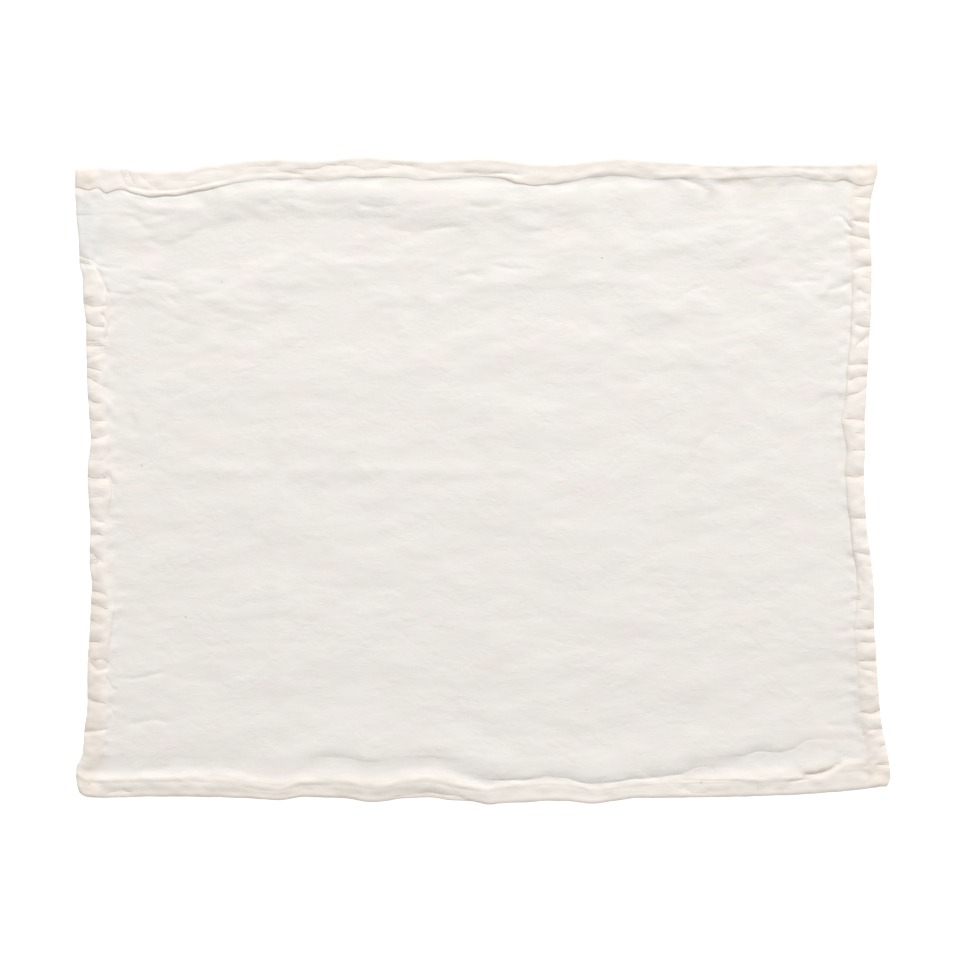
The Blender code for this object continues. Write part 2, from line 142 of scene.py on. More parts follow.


# A row for each section across a hem. at is the place along the side from its middle, edge is how far
# the outline stands out from its straight line, and hem is the hem's width. fold is how sharply its
# inner fold shows, from 0, where the panel's fullness hides it, to 1, and how much painted shade lies
# along it. crest is the distance from the edge to the top of the ridge beside the hem, lift is that
# ridge's height, and seam is how deep the hem's seam is, from 0 to 1. roll is how high the bottom hem's
# inner fold stands up, valley is the distance from the edge to the trough between it and the ridge, and
# dark is how sharply that trough is creased and marked with painted shade, from 0 to 1.
SIDES = {}
SIDES["top"] = table(
    """
    at edge hem crest lift fold seam
    -254 -4.8 11.6 19 0 0.6 0
    -246 -4.1 15.2 20.2 0.09 0.8 0
    -240 -3.8 13.6 20.4 0.17 0.6 0
    -235 -3.7 16.6 21 0.34 0.9 0.1
    -229 -4.4 13.8 21 0.6 0.7 0.3
    -225 -4.8 13.4 21 0.86 0.6 0.5
    -220 -5.3 14.6 21.4 1.03 0.8 0.9
    -204 -6.1 16.3 24 1.55 0.95 1
    -187 -5.9 15.6 25 1.72 1 0.9
    -175 -3.6 15.3 24.7 1.89 0.85 0.9
    -159 -0.9 14.4 23.3 1.98 0.7 0.8
    -149 0.3 13.8 21.8 2.06 0.35 0.3
    -142 0.8 12.9 20.8 2.06 0.15 0.2
    -128 1.2 12.8 19.2 2.06 0.34 0.5
    -108 0.5 13 19.5 2.06 0.3 0.2
    -96 0.3 12.6 19.6 2.06 0.11 0
    -86 1.7 12.9 20.6 2.06 0.26 0.1
    -75 2.8 13.4 21.4 2.06 0.38 0.1
    -62 2 12.4 21.4 2.06 0.41 0
    -52 1.1 11.8 21.3 2.06 0.3 0
    -30 0.1 12.4 20.9 2.06 0.38 0.1
    -16 0.9 11.9 21.2 2.06 0.26 0.4
    -4 1.4 11.6 21.8 2.06 0.3 0.4
    8 1.3 12.6 23.6 2.06 0.7 0.4
    25 -0.8 14 23.2 2.06 0.9 0.2
    38 -1.7 13.8 21.2 1.98 0.8 0
    60 -0.4 12 19.6 1.89 0.45 0
    76 0.7 10.6 19.4 1.72 0.45 0
    86 1.8 11.4 19.4 1.63 0.3 0.1
    111 0 11.8 18.2 1.3 0.4 0.1
    124 -0.7 10.4 18.4 0.8 0.3 0
    142 -2.2 9.8 19 0.4 0.22 0
    151 -2.4 10.2 19 0.3 0.3 0
    164 -2.4 9.5 19.5 0.2 0.3 0
    180 -2.3 8 19.5 0.1 0.3 0
    194 -2.3 8 19.5 0.1 0.3 0
    204 -2.3 8.8 19.5 0.1 0.3 0
    212 -2.1 10.6 19 0.1 0.35 0
    219 -1.9 11.4 19 0.1 0.45 0
    227 -1.7 11 19 0.1 0.6 0
    234 -1.4 14.2 19 0.1 0.6 0
    240 -1.2 15 19 0.1 0.6 0
    247 -0.9 13.2 19 0 0.4 0
    """
)
SIDES["bottom"] = table(
    """
    at edge hem roll valley lift dark
    -253 -6.2 12.5 0 19 0 0
    -249 -2.9 12.5 0.1 19.5 0.1 0
    -241 -1.7 12.5 0.2 20 0.2 0
    -224 -2 12.5 0.8 21 0.6 0.1
    -200 -2.4 12.6 1.2 21 1 0.4
    -174 -2.2 12.7 1.3 21.4 1 0.5
    -154 -1.7 11 1.3 22 1 0.4
    -139 -1 9.2 1.3 22.6 1 0.4
    -126 0 9 1.2 21.5 1.1 0
    -113 -2.2 10.5 1.2 19.5 1.3 0.1
    -102 -1.9 11.2 1.3 25 1.4 0.2
    -86 -1.2 11.5 1.4 24.8 1.4 0.5
    -68 1.1 11.4 1.4 24.2 1.4 0.8
    -52 -0.9 11.9 1.4 23 1.4 0.8
    -32 -1.7 12.7 1.4 24.8 1.5 0.7
    -22 -0.4 12 1.2 24.5 1.6 0.5
    -7 0.6 10 0.8 18.5 1.8 0.3
    3 2.8 11 0.3 16 2 0.3
    13 1.9 12.5 0 14.2 2.1 0.7
    26 1.3 13 0 14.6 2.1 0.8
    41 0.3 13.2 0 14.8 2.1 0.8
    53 0.5 12.5 0 14.2 2 0.7
    69 2 10.8 0 12.4 2 0.8
    82 0.4 10.6 0 12.2 2 1
    96 -1.4 10.6 0 12.2 2 1
    111 -1.6 11.5 0.2 13.4 2 1
    125 -1.7 12 0.5 15.5 1.9 0.9
    141 -1.9 12 0.9 20.8 1.8 0.8
    161 -2.3 12 1.2 25.5 1.7 0.6
    174 -2.8 11.5 1.3 27.8 1.4 0.6
    188 -3.2 11.7 1.4 27.2 1.2 0.6
    196 -3.4 12.1 1.4 29.6 1 0.6
    203 -4 12.8 1.4 33.2 0.8 0.4
    213 -4.8 13.6 1.4 34 0.5 0.1
    229 -5.9 15 0.8 32 0.2 0
    250 -8.7 14 0 30 0 0
    """
)
SIDES["left"] = table(
    """
    at edge hem fold
    -194 2.4 12.5 0.3
    -188 3.7 12.5 0.3
    -179 3.6 13 0.2
    -171 0.2 13.5 0.1
    -154 -1.3 15 0.1
    -142 -2.8 14 0.3
    -112 -3.2 12.6 0.1
    -94 -4.6 14.6 0.5
    -79 -5.1 14.6 0.4
    -64 -5.6 11.5 0.3
    -49 -4.2 11.5 0.2
    -33 -4.9 11.5 0.1
    -18 -4.2 12.5 0.5
    -8 -3.5 15 0.6
    8 -3.1 12.8 0.5
    23 -4.9 12 0.1
    38 -4.3 10.9 0.1
    60 -2.8 11.6 0.1
    85 -2.2 11.8 0.2
    97 -2 14.4 0.4
    112 -0.6 15 0.8
    120 -0.1 14.6 0.9
    130 0.3 10.6 0.6
    134 1.8 9.6 0.4
    143 2.2 9.6 0
    155 2.8 12 0
    167 4.1 12.5 0
    185 4.6 12.5 0.1
    197 4.3 12.5 0.1
    """
)
SIDES["right"] = table(
    """
    at edge hem fold
    -191 2.8 12.5 0.14
    -187 4.6 12.5 0.14
    -179 4.4 13 0.07
    -170 3.2 13 0.07
    -157 0.5 13 0.07
    -142 -1.6 13 0.07
    -112 -3.5 12.9 0.14
    -92 -4.9 13.5 0.21
    -79 -5 12 0.28
    -67 -5.4 10.3 0.56
    -56 -6.2 10.3 0.63
    -46 -7.3 10.9 0.7
    -37 -8.8 11 0.7
    -24 -10 10.9 0.63
    0 -11.4 11.6 0.63
    19 -10.9 11.9 0.56
    38 -10.9 14.4 0.49
    53 -10.1 13.2 0.63
    72 -9.1 13.2 0.7
    88 -8.1 12.4 0.63
    104 -7.1 12.5 0.56
    120 -6.7 12.6 0.42
    137 -6.7 12.9 0.14
    150 -7.6 13 0.07
    161 -8.1 13 0.07
    177 -6.9 13 0.07
    187 -4.5 13 0.14
    192 -3.2 13 0.14
    199 -3.2 13 0.14
    """
)

# A row for each line of the mesh along a hem, from under the rounded outer fold in to the panel. It
# lies a share of the hem's width in, of_hem, and a length, plus. rim is its height in the rounded
# fold, layers how much of the hem's extra thickness it has, drawn how far the seam draws it in, and
# ragged how far it follows the uneven inner fold.
HEM_LINES = table(
    f"""
    of_hem plus rim layers drawn ragged
    0 0.25 0.12 1 0 0
    0 0 0.33 1 0 0
    0 0.08 0.58 1 0 0
    0 0.3 0.85 1 0 0
    0 0.85 1.06 1 0 0
    0.2 0.2 1.04 1 0 0
    0.4 -1 1 1 0 0
    0.6 -2.2 1 1 0 0
    0.8 -3.4 1 1 0 0
    1 -4.6 1 1 0 0
    1 -3.9 1 1 0.4 0
    1 {-SEAM} 1 1 1 0.1
    1 -2.6 1 1 0.4 0.2
    1 -2 1 0.97 -0.2 0.4
    1 -1.3 1 0.88 -0.3 0.6
    1 -0.75 1 0.76 -0.2 0.8
    1 -0.38 1 0.62 0 0.95
    1 -0.14 1 0.46 0 1
    1 0 1 0.3 0 1
    1 0.12 1 0.14 0.1 1
    1 0.26 1 0.02 0.3 1
    1 0.5 1 0 0.4 0.95
    1 1 1 0 0.2 0.8
    1 1.7 1 0 0 0.6
    1 2.7 1 0 0 0.3
    1 4 1 0 0 0.1
    1 5.6 1 0 0 0
    1 7.4 1 0 0 0
    """
)
LINES = len(HEM_LINES["plus"])
SOLE = 4  # the hem line above which the underside begins
SOLE_STEP = 3  # the underside takes every third line of the upper face

# Folds that pressing left in the panel. One runs along X and the others along Y.
Pressed = namedtuple("Pressed", "at low high")
PRESSED_ACROSS = Pressed(6, -215, 45)
PRESSED_UP = rows_of(
    Pressed,
    (-127, -170, 165), (5, -165, 165), (136, -160, 170),
)

# The main creases. A row has deep, how far one dips, or stands up if it is below 0,
# wide, which is half its width, and the x,y of each point that it runs through.
Crease = namedtuple("Crease", "deep wide along")


def creases_of(text):
    """The creases of a text table."""
    rows = [map(float, row.replace(",", " ").split()) for row in text.strip().splitlines()]
    return [Crease(deep, wide, list(zip(along[::2], along[1::2]))) for deep, wide, *along in rows]


LEFT_CREASES = creases_of(
    """
    0.5 2 -254,165.5 -245,165.5
    1.6 1.7 -253,141 -248,138.5 -244,137.5 -240,134 -233,132.5 -228,136
    1.2 1.4 -253,136 -243,134
    1 1.3 -240,131.5 -235,119 -234,117.5
    0.9 1.6 -234,117.5 -224,116 -216,116
    1.6 2 -250,111 -243,108 -236,109
    0.9 1.2 -237,103.5 -233,95.5
    0.6 1.3 -230,100 -224,94
    1.2 1.7 -248,99 -243,96 -237,95.5
    0.9 2 -248,87 -240,86.5
    1.1 1.7 -248,84 -237,83.5
    0.7 1.5 -247,76 -237,79
    1 1.7 -247,70.5 -238,68
    1.3 2 -248,65 -240,60.5 -234,57.5
    1.1 1.8 -247,51.5 -243,48.5 -239,48
    1.5 2 -247,40 -243,37 -236,37
    1 1.9 -245,26 -240,26 -235,28
    0.7 1.8 -245,12.5 -237,12.5 -234,15.5
    1.5 2 -247,2.5 -243,1 -235,1
    0.5 1.3 -243,-1 -237,-3.5
    1 1.5 -235,4 -231,-0.5 -231,-8 -227,-14
    0.6 1.5 -246,-11 -237,-10.5
    1.2 1.8 -246,-17.5 -244,-23 -240,-26 -237,-26
    1.4 1.8 -246,-34 -239,-34
    1.3 1.8 -246,-45 -243,-46.5 -238,-50.5
    0.9 1.4 -245,-52 -242,-52
    0.8 1.8 -245,-62.5 -242,-63
    1.5 2 -245,-69 -239,-70 -236,-71
    1.4 1.9 -245,-76.5 -241,-78.5 -236,-80
    1 2.6 -244,-87.5 -238,-90.5
    1.1 1.7 -246,-101 -240,-101
    1 1.5 -246,-108.5 -245,-113.5 -240,-119 -235,-117.5
    0.9 1.4 -235,-117.5 -234,-114 -237,-111.5 -242,-112.5
    0.9 1.6 -247,-135.5 -243,-138 -237,-139
    1 1.3 -234,-124 -232,-129 -230,-130.5
    1 1.3 -233,-142 -230,-146.5
    1.4 1.4 -249,-157 -240,-156.5 -235,-155.5
    0.5 1.2 -233,-160 -231,-164.5
    """
)
RIGHT_CREASES = creases_of(
    """
    1.2 1.7 232,177 238,176.5 244,176
    1.4 1.8 232,162 238,161 242,161
    1.3 1.7 230,153 236,151.5 243,150.5
    0.6 1.4 238,144.5 243,144
    1.4 1.7 232,131.5 238,133.5 244,134
    0.8 2.2 239,126.5 243,125
    0.9 1.6 235,119 239,116.5 243,116
    0.6 1.3 239,111 241,107
    1.4 1.9 234,97 238,95.5 243,95.5
    1.1 1.6 234,85 241,90.5
    1.4 1.8 229,72 242,72.5
    1 1.9 229,62 234,64.5 241,65
    1.2 1.7 229,53 235,54.5 240,58.5
    1.4 1.8 228,38 234,38 240,37
    0.9 1.8 235,29 240,29
    1 1.5 232,18.5 240,18.5
    1.5 1.9 228,2.5 232,1.5 239,3.5
    1.4 1.5 230,-23.5 240,-24
    1.3 1.8 233,-45 238,-46 243,-46.5
    0.6 1.2 241,-53.5 244,-53.5
    0.4 1.2 236,-60 237,-64
    0.6 1.6 227,-69.5 234,-70
    0.8 1.3 231,-74 234,-74.5
    0.7 1.4 237,-80.5 241,-81
    1 1.7 234,-93 239,-93.5 246,-92
    1 1.7 237,-101 241,-101.5 246,-101
    1 1.6 236,-113 247,-112.5
    0.8 1.7 237,-118 243,-119 247,-121
    1.3 2.2 237,-145 243,-146 249,-143
    0.7 2.2 216,-152.5 225,-153.5 232,-155
    1 1.7 238,-159.5 241,-156 250,-155
    0.9 1.3 249,-166 253,-164.5
    0.8 1.3 247,-177.5 254,-178
    """
)
LONG_HEM_CREASES = creases_of(
    """
    1.1 1 126,187.5 131,186 139.5,182 148,178 157,175.5
    0.5 2.2 150,184.5 167,184.4 183,182.3 192,184 211,184.8
    0.3 1.3 153,175 160,178 172,180
    0.5 1.1 -126,193 -114,191
    0.9 1.2 -114,194 -104,194 -97,196.5 -87,196.5
    0.6 1.1 -85,196.5 -79,196 -73,193.5
    0.5 1.1 -68,194 -62,195 -57,194.5
    0.7 1.1 -57,197.5 -49,196.5 -43,196
    0.5 1 -39,194.5 -27,192.5
    0.6 1.1 -10,192 3,191 13,192 23,190.5
    0.8 1.5 -227,194.5 -225,191 -224,187
    0.8 1.5 -222,193.5 -220,190 -218,186
    0.6 1.3 -215,191.5 -209,186 -203,182
    0.35 0.8 -61,188.5 -54.5,185.5
    0.35 0.8 74,187.7 78,185.8 86,182
    0.4 1 -194,187 -179,187
    0.5 1.1 -178,192 -168,194 -163,193.5
    0.5 1.1 -144,196 -131,196
    1.7 1.6 202,-184 209,-183.5 216,-181.5 222,-177
    0.6 1.1 192,-188 203,-186.5
    0.4 1 124,-187.5 161,-187.5
    0.5 1.6 225,-173 234,-173.5
    0.9 1.3 -54,-197.5 -42,-196 -32,-195 -25,-196.5
    0.9 1.3 -25,-196.5 -17,-197 -7,-200.5 2,-202.5
    0.7 1.5 -234,-195.5 -226,-193.5 -220,-195
    0.6 1.2 126,-192.3 131,-195.5 141,-195.8
    0.4 1.2 170,-188 172,-194
    0.4 1.2 190,-188 191,-194
    """
)
PANEL_CREASES = creases_of(
    """
    0.45 2 -231,174 -218,169 -209,166.5 -199,165
    0.4 1.9 -218,164 -209,156
    0.4 1.9 -208,150 -197,144.5 -192,142.5
    0.61 1.5 -212,126 -203,124.5 -193,123.5
    0.47 1.3 -196,114.5 -190,110
    0.68 1.6 -231,68 -225,62 -221,60
    0.54 1.4 -227,54.5 -222,49.5
    0.81 1.4 -222,45 -218,37 -218,29.5
    -0.54 1.2 -236,51 -232,45.5
    0.54 1.1 -226,-123.5 -218,-124 -210,-122.5 -200,-120
    0.47 1.7 -218,-152 -204,-149.5 -198,-151
    0.81 1.1 218,119 225,121 229,123.5
    0.68 1 220,107.5 224,107 226,110 229,109
    0.81 1 224,165 230,157.5
    0.41 1.1 195,123.5 204,124.5 211,123.5
    -0.68 2.2 225,131 218,123.5 212,116
    -0.81 2.2 222,86 216,67.5 214,54
    0.35 1.5 219,53 213,52.5 206,45
    -0.4 1.4 220,60 218,45 218.5,31 220.5,14 222,2
    0.54 1.1 125,114 131,119 140,122.5 156,122.5
    0.61 1.1 150,36 143,30 135,22.5 132,15 128,5 121,3.5
    0.47 1.2 -89,98.5 -84,94
    0.47 1.2 -82,86 -78,81.5
    0.68 2.2 -75,172 -65,170 -57,171.5
    0.68 2.2 -7,171.5 1,170 11,172
    0.61 1.7 -108,161 -95,158.5 -82,157.5
    0.54 1.3 -58,156.5 -44,155
    0.54 1.7 -36,156 -27,157.5 -17,158.5
    0.41 2.2 -87,139.5 -77,142 -65,142.5
    0.47 1.9 -17,127 -8,129.5 1,127
    0.47 1.2 7,134.5 17,132 26,132
    0.61 1.9 -176,146 -169,147.5 -163,148.5
    0.41 1.9 -154,151 -139,151 -132,152
    0.41 1.7 -167,140 -152,141.5
    """
)
SIDE_CREASES = LEFT_CREASES + RIGHT_CREASES
OTHER_CREASES = LONG_HEM_CREASES + PANEL_CREASES

# The left hem's smooth stretch has painted grey shade over it.
SMOOTH_STRETCH = (137.0, 178.0)  # where the left hem is unpuckered and a little greyer
GREY_SHADE_PATCH = (-247.0, 154.0, 13.0, 24.0)  # its middle and half its size
# Stretches whose colour turns towards the shade colour: along the pressed folds this is painted shade,
# on the hems partly painted shade and partly the cloth's browner tone, and the two broad ones on the
# panel are its browner tone. Each is about so long along X and so wide along Y, from its middle.
BrownAndShade = namedtuple("BrownAndShade", "x y long wide share")
BROWN_AND_SHADE_PATCHES = rows_of(
    BrownAndShade,
    (-135, -199, 105, 8, 0.22), (-246, -120, 9, 62, 0.3), (238, 160, 9, 30, 0.12),
    (240, -130, 10, 55, 0.12), (233, 10, 9, 70, 0.06), (168, 183, 38, 7, 0.1), (-248, 192, 9, 9, 0.12),
    (-121, 70, 5, 95, 0.07), (10, -30, 5, 110, 0.05), (141, 40, 5, 80, 0.07), (-200, -40, 60, 160, 0.03),
    (190, -150, 80, 60, 0.03),
)

# Washed-in crinkles: hills about so long along X and so wide along Y, with their share of the height.
# turn is how far they slant, in degrees.
Crinkle = namedtuple("Crinkle", "long wide turn share seed")
CRINKLES = rows_of(
    Crinkle,
    (60, 30, 5, 1.4, 1), (23, 14, 8, 0.64, 2), (10.5, 5.8, 0, 0.25, 3), (30, 11, 22, 0.14, 4),
    (26, 10, -24, 0.12, 5), (18, 15, 75, 0.42, 9), (6.5, 3.2, 0, 0.1, 31),
)
# Sharp little folds along the hills' zero lines.
SHARP_CRINKLES = rows_of(
    Crinkle,
    (42, 15, 4, 0.3, 6), (28, 12, -18, 0.26, 7), (24, 15, 52, 0.22, 8),
)
FOLD_EDGE = 5.0  # how narrow those are
FOLD_PATCHES = (80.0, 50.0)  # about how long and wide the patches are that have them
STRAY = Crinkle(60, 40, 20, 9, 10)  # how the hills stray from straight rows, in millimetres
TOP_MORE = (40.0, 130.0, 0.80)  # the panel's top is that much more crinkled, between those places
CRINKLE_START = (-8.0, 12.0)  # where the crinkles begin beside a hem's inner fold, and over how far
# The same on the side hems and the panel beside them, and on the long hems.
SIDE_CRINKLES = rows_of(
    Crinkle,
    (12, 6.5, 0, 1.08, 41), (9, 5, 38, 0.84, 42), (9, 5, -42, 0.84, 43), (5, 3, 10, 0.3, 44),
)
LONG_CRINKLES = rows_of(
    Crinkle,
    (18, 4.5, 0, 0.85, 51), (12, 5.5, 38, 0.75, 52), (11, 5, -36, 0.7, 53), (6, 3, 0, 0.25, 54),
)
HEM_RUN_ON = 15.0  # how far those run on into the panel

# Dark slubs in the weave, each with its radius.
Slub = namedtuple("Slub", "x y radius")
DARK_SLUBS = rows_of(
    Slub,
    (74.6, 138.9, 0.5), (136.5, -188.6, 0.5), (-185.4, -85.4, 0.45), (-212.9, 8.9, 0.45),
    (-162.9, 123.9, 0.4), (64.6, -143.6, 0.35),
)
SLUB_LONG = 1.5  # how long one is along the weft, beside its width
SLUB_EDGE = (0.3, 1.2)  # from its dark middle to its end, in its radii
SLUB_DARK = 0.75  # how dark it is

# The bar tacks at the corners, each with the way it runs in degrees.
Tack = namedtuple("Tack", "x y turn")
TACKS = rows_of(
    Tack,
    (-245.4, 186.4, 80), (239.6, 190.2, 75), (-245.4, -189.2, 95), (244.6, -186.1, 60),
)
STRANDS_APART = 1.5  # in a tack, in the thread's radii

SEAM_ENDS = (1.6, 2.0)  # from a long hem's seam to the side edge, and from a side hem's to the corner
SEAM_POINTS = 1500  # along a seam's route
TWIST = 16.0  # of the thread, in radians for each millimetre
TWIST_HEIGHT = 0.02  # of its ridges
THREAD_SHADE = 0.9  # its darker stretches, beside its colour
STITCH_DIP = 0.42  # of a stitch's length, from its middle to where it dips into the cloth
STITCH_REACH = 0.4  # and to where it meets the cloth's face
STITCH_SINK = 0.25  # how deep it lies in that face, in the thread's radii
UNDER_CLOTH = 0.05  # from the cloth down to the floor


# Sizes and colours that a user would change.


def metres(name, description, default, precision=4):
    """A length."""
    return FloatProperty(
        name=name, description=description, default=default, precision=precision, unit="LENGTH"
    )


def colour(name, description, default):
    """A colour."""
    return FloatVectorProperty(name=name, description=description, default=default, subtype="COLOR")


class PlacematCloth(bpy.types.PropertyGroup):
    """The cloth's thickness, relief and colours."""

    layer: metres("Layer", "Thickness of one layer", 0.0011)
    turning: metres("Turning", "What a folded hem adds", 0.0012)
    crinkle: metres("Crinkle", "Height of the washed-in crinkles", 0.0004)
    thread: metres("Thread", "From one thread of the weave to the next", 0.0008)
    panel: colour("Panel", "Colour of the single layer", (0.751, 0.723, 0.686))
    blush: colour("Blush", "Colour of its pinker patches", (0.763, 0.712, 0.684))
    moss: colour("Moss", "Colour of its greener patches", (0.746, 0.723, 0.674))
    lilac: colour("Lilac", "Colour of its bluer patches", (0.744, 0.717, 0.692))
    hem: colour("Hem", "Colour of the folded layers", (0.784, 0.731, 0.680))
    # Painted shade: the colour mixed in down in the creases, along the folds and the trough, and on
    # browner patches, some of which are the cloth's own browner tone.
    shade: colour("Shade", "Colour down in the creases", (0.700, 0.612, 0.515))
    corner: colour("Corner", "Colour of the thick corners", (0.785, 0.714, 0.645))
    # Painted grey shade on the left hem's smooth stretch.
    grey_shade: colour("Cool", "Colour of the greyer stretch of the left hem", (0.690, 0.690, 0.680))
    slub: colour("Slub", "Colour of the thick threads", (0.705, 0.665, 0.600))
    speck: colour("Speck", "Colour of the dark slubs", (0.33, 0.27, 0.20))


class PlacematSewing(bpy.types.PropertyGroup):
    """The seams' thread."""

    stitch: metres("Stitch", "Length of one stitch", 0.0026)
    pitch: metres("Pitch", "From one stitch to the next", 0.0032)
    radius: metres("Radius", "Half the thread's thickness", 0.00015, precision=5)
    strands: IntProperty(name="Strands", description="Threads side by side in a tack", default=5)
    thread: colour("Thread", "Colour of the thread", (0.755, 0.715, 0.665))


class PlacematStage(bpy.types.PropertyGroup):
    """The floor, the light and the camera."""

    floor: colour("Floor", "Colour of the floor", (0.96, 0.96, 0.96))
    glow: FloatProperty(name="Glow", description="Of the floor, a lit white table", default=0.55)
    floor_size: metres("Floor size", "Side of the floor", 14.0)
    key: FloatProperty(name="Key", description="Power of the soft light", default=132.0, unit="POWER")
    key_size: metres("Key size", "Side of the soft light", 1.95)
    key_distance: metres("Key distance", "From the cloth to the soft light", 3.7)
    key_turn: FloatProperty(
        name="Key turn", description="Of the soft light from the top edge to the right",
        default=radians(9), subtype="ANGLE",
    )
    key_height: FloatProperty(
        name="Key height", description="Of the soft light above the top edge", default=radians(42),
        subtype="ANGLE",
    )
    fill: FloatProperty(name="Fill", description="Strength of the pale surroundings", default=0.53)
    height: metres("Camera", "Height of the camera above the cloth", 2.0)
    lens: FloatProperty(name="Lens", description="Focal length", default=120.0, unit="CAMERA")


# Smooth curves, hills and creases, on arrays of points in millimetres.


def smooth(t):
    """From 0 to 1 with flat ends."""
    t = np.clip(t, 0.0, 1.0)
    return t * t * (3 - 2 * t)


def stretch(at, low, high, soft):
    """1 between two places and 0 outside them, with soft ends."""
    return smooth((at - low) / soft) * smooth((high - at) / soft)


def step_down(away, soft):
    """From 1 on this side of a soft step to 0 past it."""
    return 1 - smooth(away / soft + 0.5)


def curve(side, name, at):
    """A column's value at places along a side, on a smooth curve through the table's rows."""
    places, values = SIDES[side]["at"], SIDES[side][name]
    last = len(places) - 1
    low, high = np.arange(-1, last), np.arange(1, last + 2)
    low[0], high[-1] = 0, last
    slopes = (values[high] - values[low]) / (places[high] - places[low])
    at = np.clip(at, places[0], places[-1])
    i = np.clip(np.searchsorted(places, at, side="right") - 1, 0, last - 1)
    span = places[i + 1] - places[i]
    t = (at - places[i]) / span
    start = (1 + 2 * t) * (1 - t) ** 2 * values[i] + t * (1 - t) ** 2 * span * slopes[i]
    end = t * t * (3 - 2 * t) * values[i + 1] - t * t * (1 - t) * span * slopes[i + 1]
    return start + end


def hills(x, y, crinkle):
    """Soft hills and hollows from about -1 to 1, the same each time."""
    turn = radians(crinkle.turn)
    u = (x * cos(turn) + y * sin(turn)) / crinkle.long + LATTICE / 2
    v = (y * cos(turn) - x * sin(turn)) / crinkle.wide + LATTICE / 2
    i, j = u.astype(int), v.astype(int)
    lean = np.random.default_rng(crinkle.seed).uniform(0, 2 * pi, (LATTICE + 1, LATTICE + 1))

    def slope(k, m):
        return (u - i - k) * np.cos(lean[i + k, j + m]) + (v - j - m) * np.sin(lean[i + k, j + m])

    s, t = smooth(u - i), smooth(v - j)
    near = slope(0, 0) * (1 - s) + slope(1, 0) * s
    far = slope(0, 1) * (1 - s) + slope(1, 1) * s
    return HILL_HEIGHT * (near * (1 - t) + far * t)


def all_hills(x, y, crinkles):
    """The sum of several kinds of hills."""
    return sum(crinkle.share * hills(x, y, crinkle) for crinkle in crinkles)


def uneven(at, spacing, seed):
    """Soft unevenness along a line, from about -1 to 1."""
    return hills(at, np.full_like(at, 0.5), Crinkle(spacing, 1, 0, 1, seed))


def from_crease(x, y, crease):
    """How far points are from each straight piece of a crease, and whether they are below it."""
    for (x0, y0), (x1, y1) in zip(crease.along, crease.along[1:]):
        run, rise = x1 - x0, y1 - y0
        share = ((x - x0) * run + (y - y0) * rise) / (run * run + rise * rise)
        share = np.clip(share, 0.0, 1.0)
        away = np.hypot(x - x0 - share * run, y - y0 - share * rise)
        yield away, run * (y - y0) < rise * (x - x0)


def creased(x, y, creases, wider=1.0):
    """How far creases lower each point. Each is a sharp fold between rounded cushions."""
    total = np.zeros_like(x)
    for crease in creases:
        nearest = np.minimum.reduce([away for away, _ in from_crease(x, y, crease)])
        away = nearest / (crease.wide * wider)
        fold = np.exp(-(away**2))
        sides = np.exp((CUSP - np.hypot(away, CUSP)) / CUSHION)
        total += crease.deep * (SHARP * fold + (1 - SHARP) * sides)
    return total


def crease_line(x, y, creases):
    """How far each point is to one side of its nearest crease or the other, and that one's depth."""
    line, depth = np.full_like(x, np.inf), np.zeros_like(x)
    for crease in creases:
        for away, below in from_crease(x, y, crease):
            nearer = away < np.abs(line)
            line = np.where(nearer, np.where(below, -away, away), line)
            depth = np.where(nearer, crease.deep, depth)
    return line, np.maximum(depth, 0.0) * mark_fade(line)


def mark_fade(line):
    """How a crease's mark fades with the distance from its line."""
    return 1 - smooth(np.abs(line) / LINE_REACH - 1)


def rounded(shape, d):
    """A shape of straight slopes over distance, with its corners rounded."""
    shifts = np.linspace(-CREST_ROUND, CREST_ROUND, 5)
    return sum(shape(d + shift) for shift in shifts) / len(shifts)


# The cloth's plan: where the lines of its mesh cross, in millimetres.


def both_sides(name, count):
    """A hem lines' column for all lines between two edges. The panel's lines repeat its last value."""
    side = HEM_LINES[name]
    return np.concatenate([side, np.full(count - 2 * LINES, side[-1]), side[::-1]])


def panel_shares(span, spacing):
    """Where the panel's own lines lie between the hems' lines, as shares.

    They are so many that the underside's lines, one in SOLE_STEP, end where they should.
    """
    count = int(span / spacing)
    count -= (count + 2 * (LINES - SOLE) - 1) % SOLE_STEP
    share = np.arange(1, count + 1) / (count + 1)
    return share - CLOSER * np.sin(2 * pi * share) / (2 * pi)


ACROSS = panel_shares(LENGTH - 2 * INNER, COLUMN)
ALONG = panel_shares(DEPTH - 2 * INNER, ROW)

# How far each side's straight line is from the cloth's middle, which way is out, and its seed.
Line = namedtuple("Line", "half out seed")
SIDE_LINES = {
    "top": Line(DEPTH / 2, 1, 61),
    "bottom": Line(DEPTH / 2, -1, 62),
    "left": Line(LENGTH / 2, -1, 63),
    "right": Line(LENGTH / 2, 1, 64),
}


def edge(side, at):
    """Where a side's outer fold runs, which strays a little from the table's curve."""
    line = SIDE_LINES[side]
    stray = RAGGED_EDGE * (uneven(at, 9.0, line.seed) + 0.5 * uneven(at, 5.0, line.seed + 5))
    return line.out * (line.half + curve(side, "edge", at) + stray)


def inward(side, at, across):
    """How far in from a side's outer fold."""
    return SIDE_LINES[side].out * (edge(side, at) - across)


def fold_stray(side, at):
    """How far a hem's inner fold strays from its line."""
    seed = SIDE_LINES[side].seed + 10
    return RAGGED_FOLD * (uneven(at, 8.0, seed) + 0.6 * uneven(at, 17.0, seed + 5))


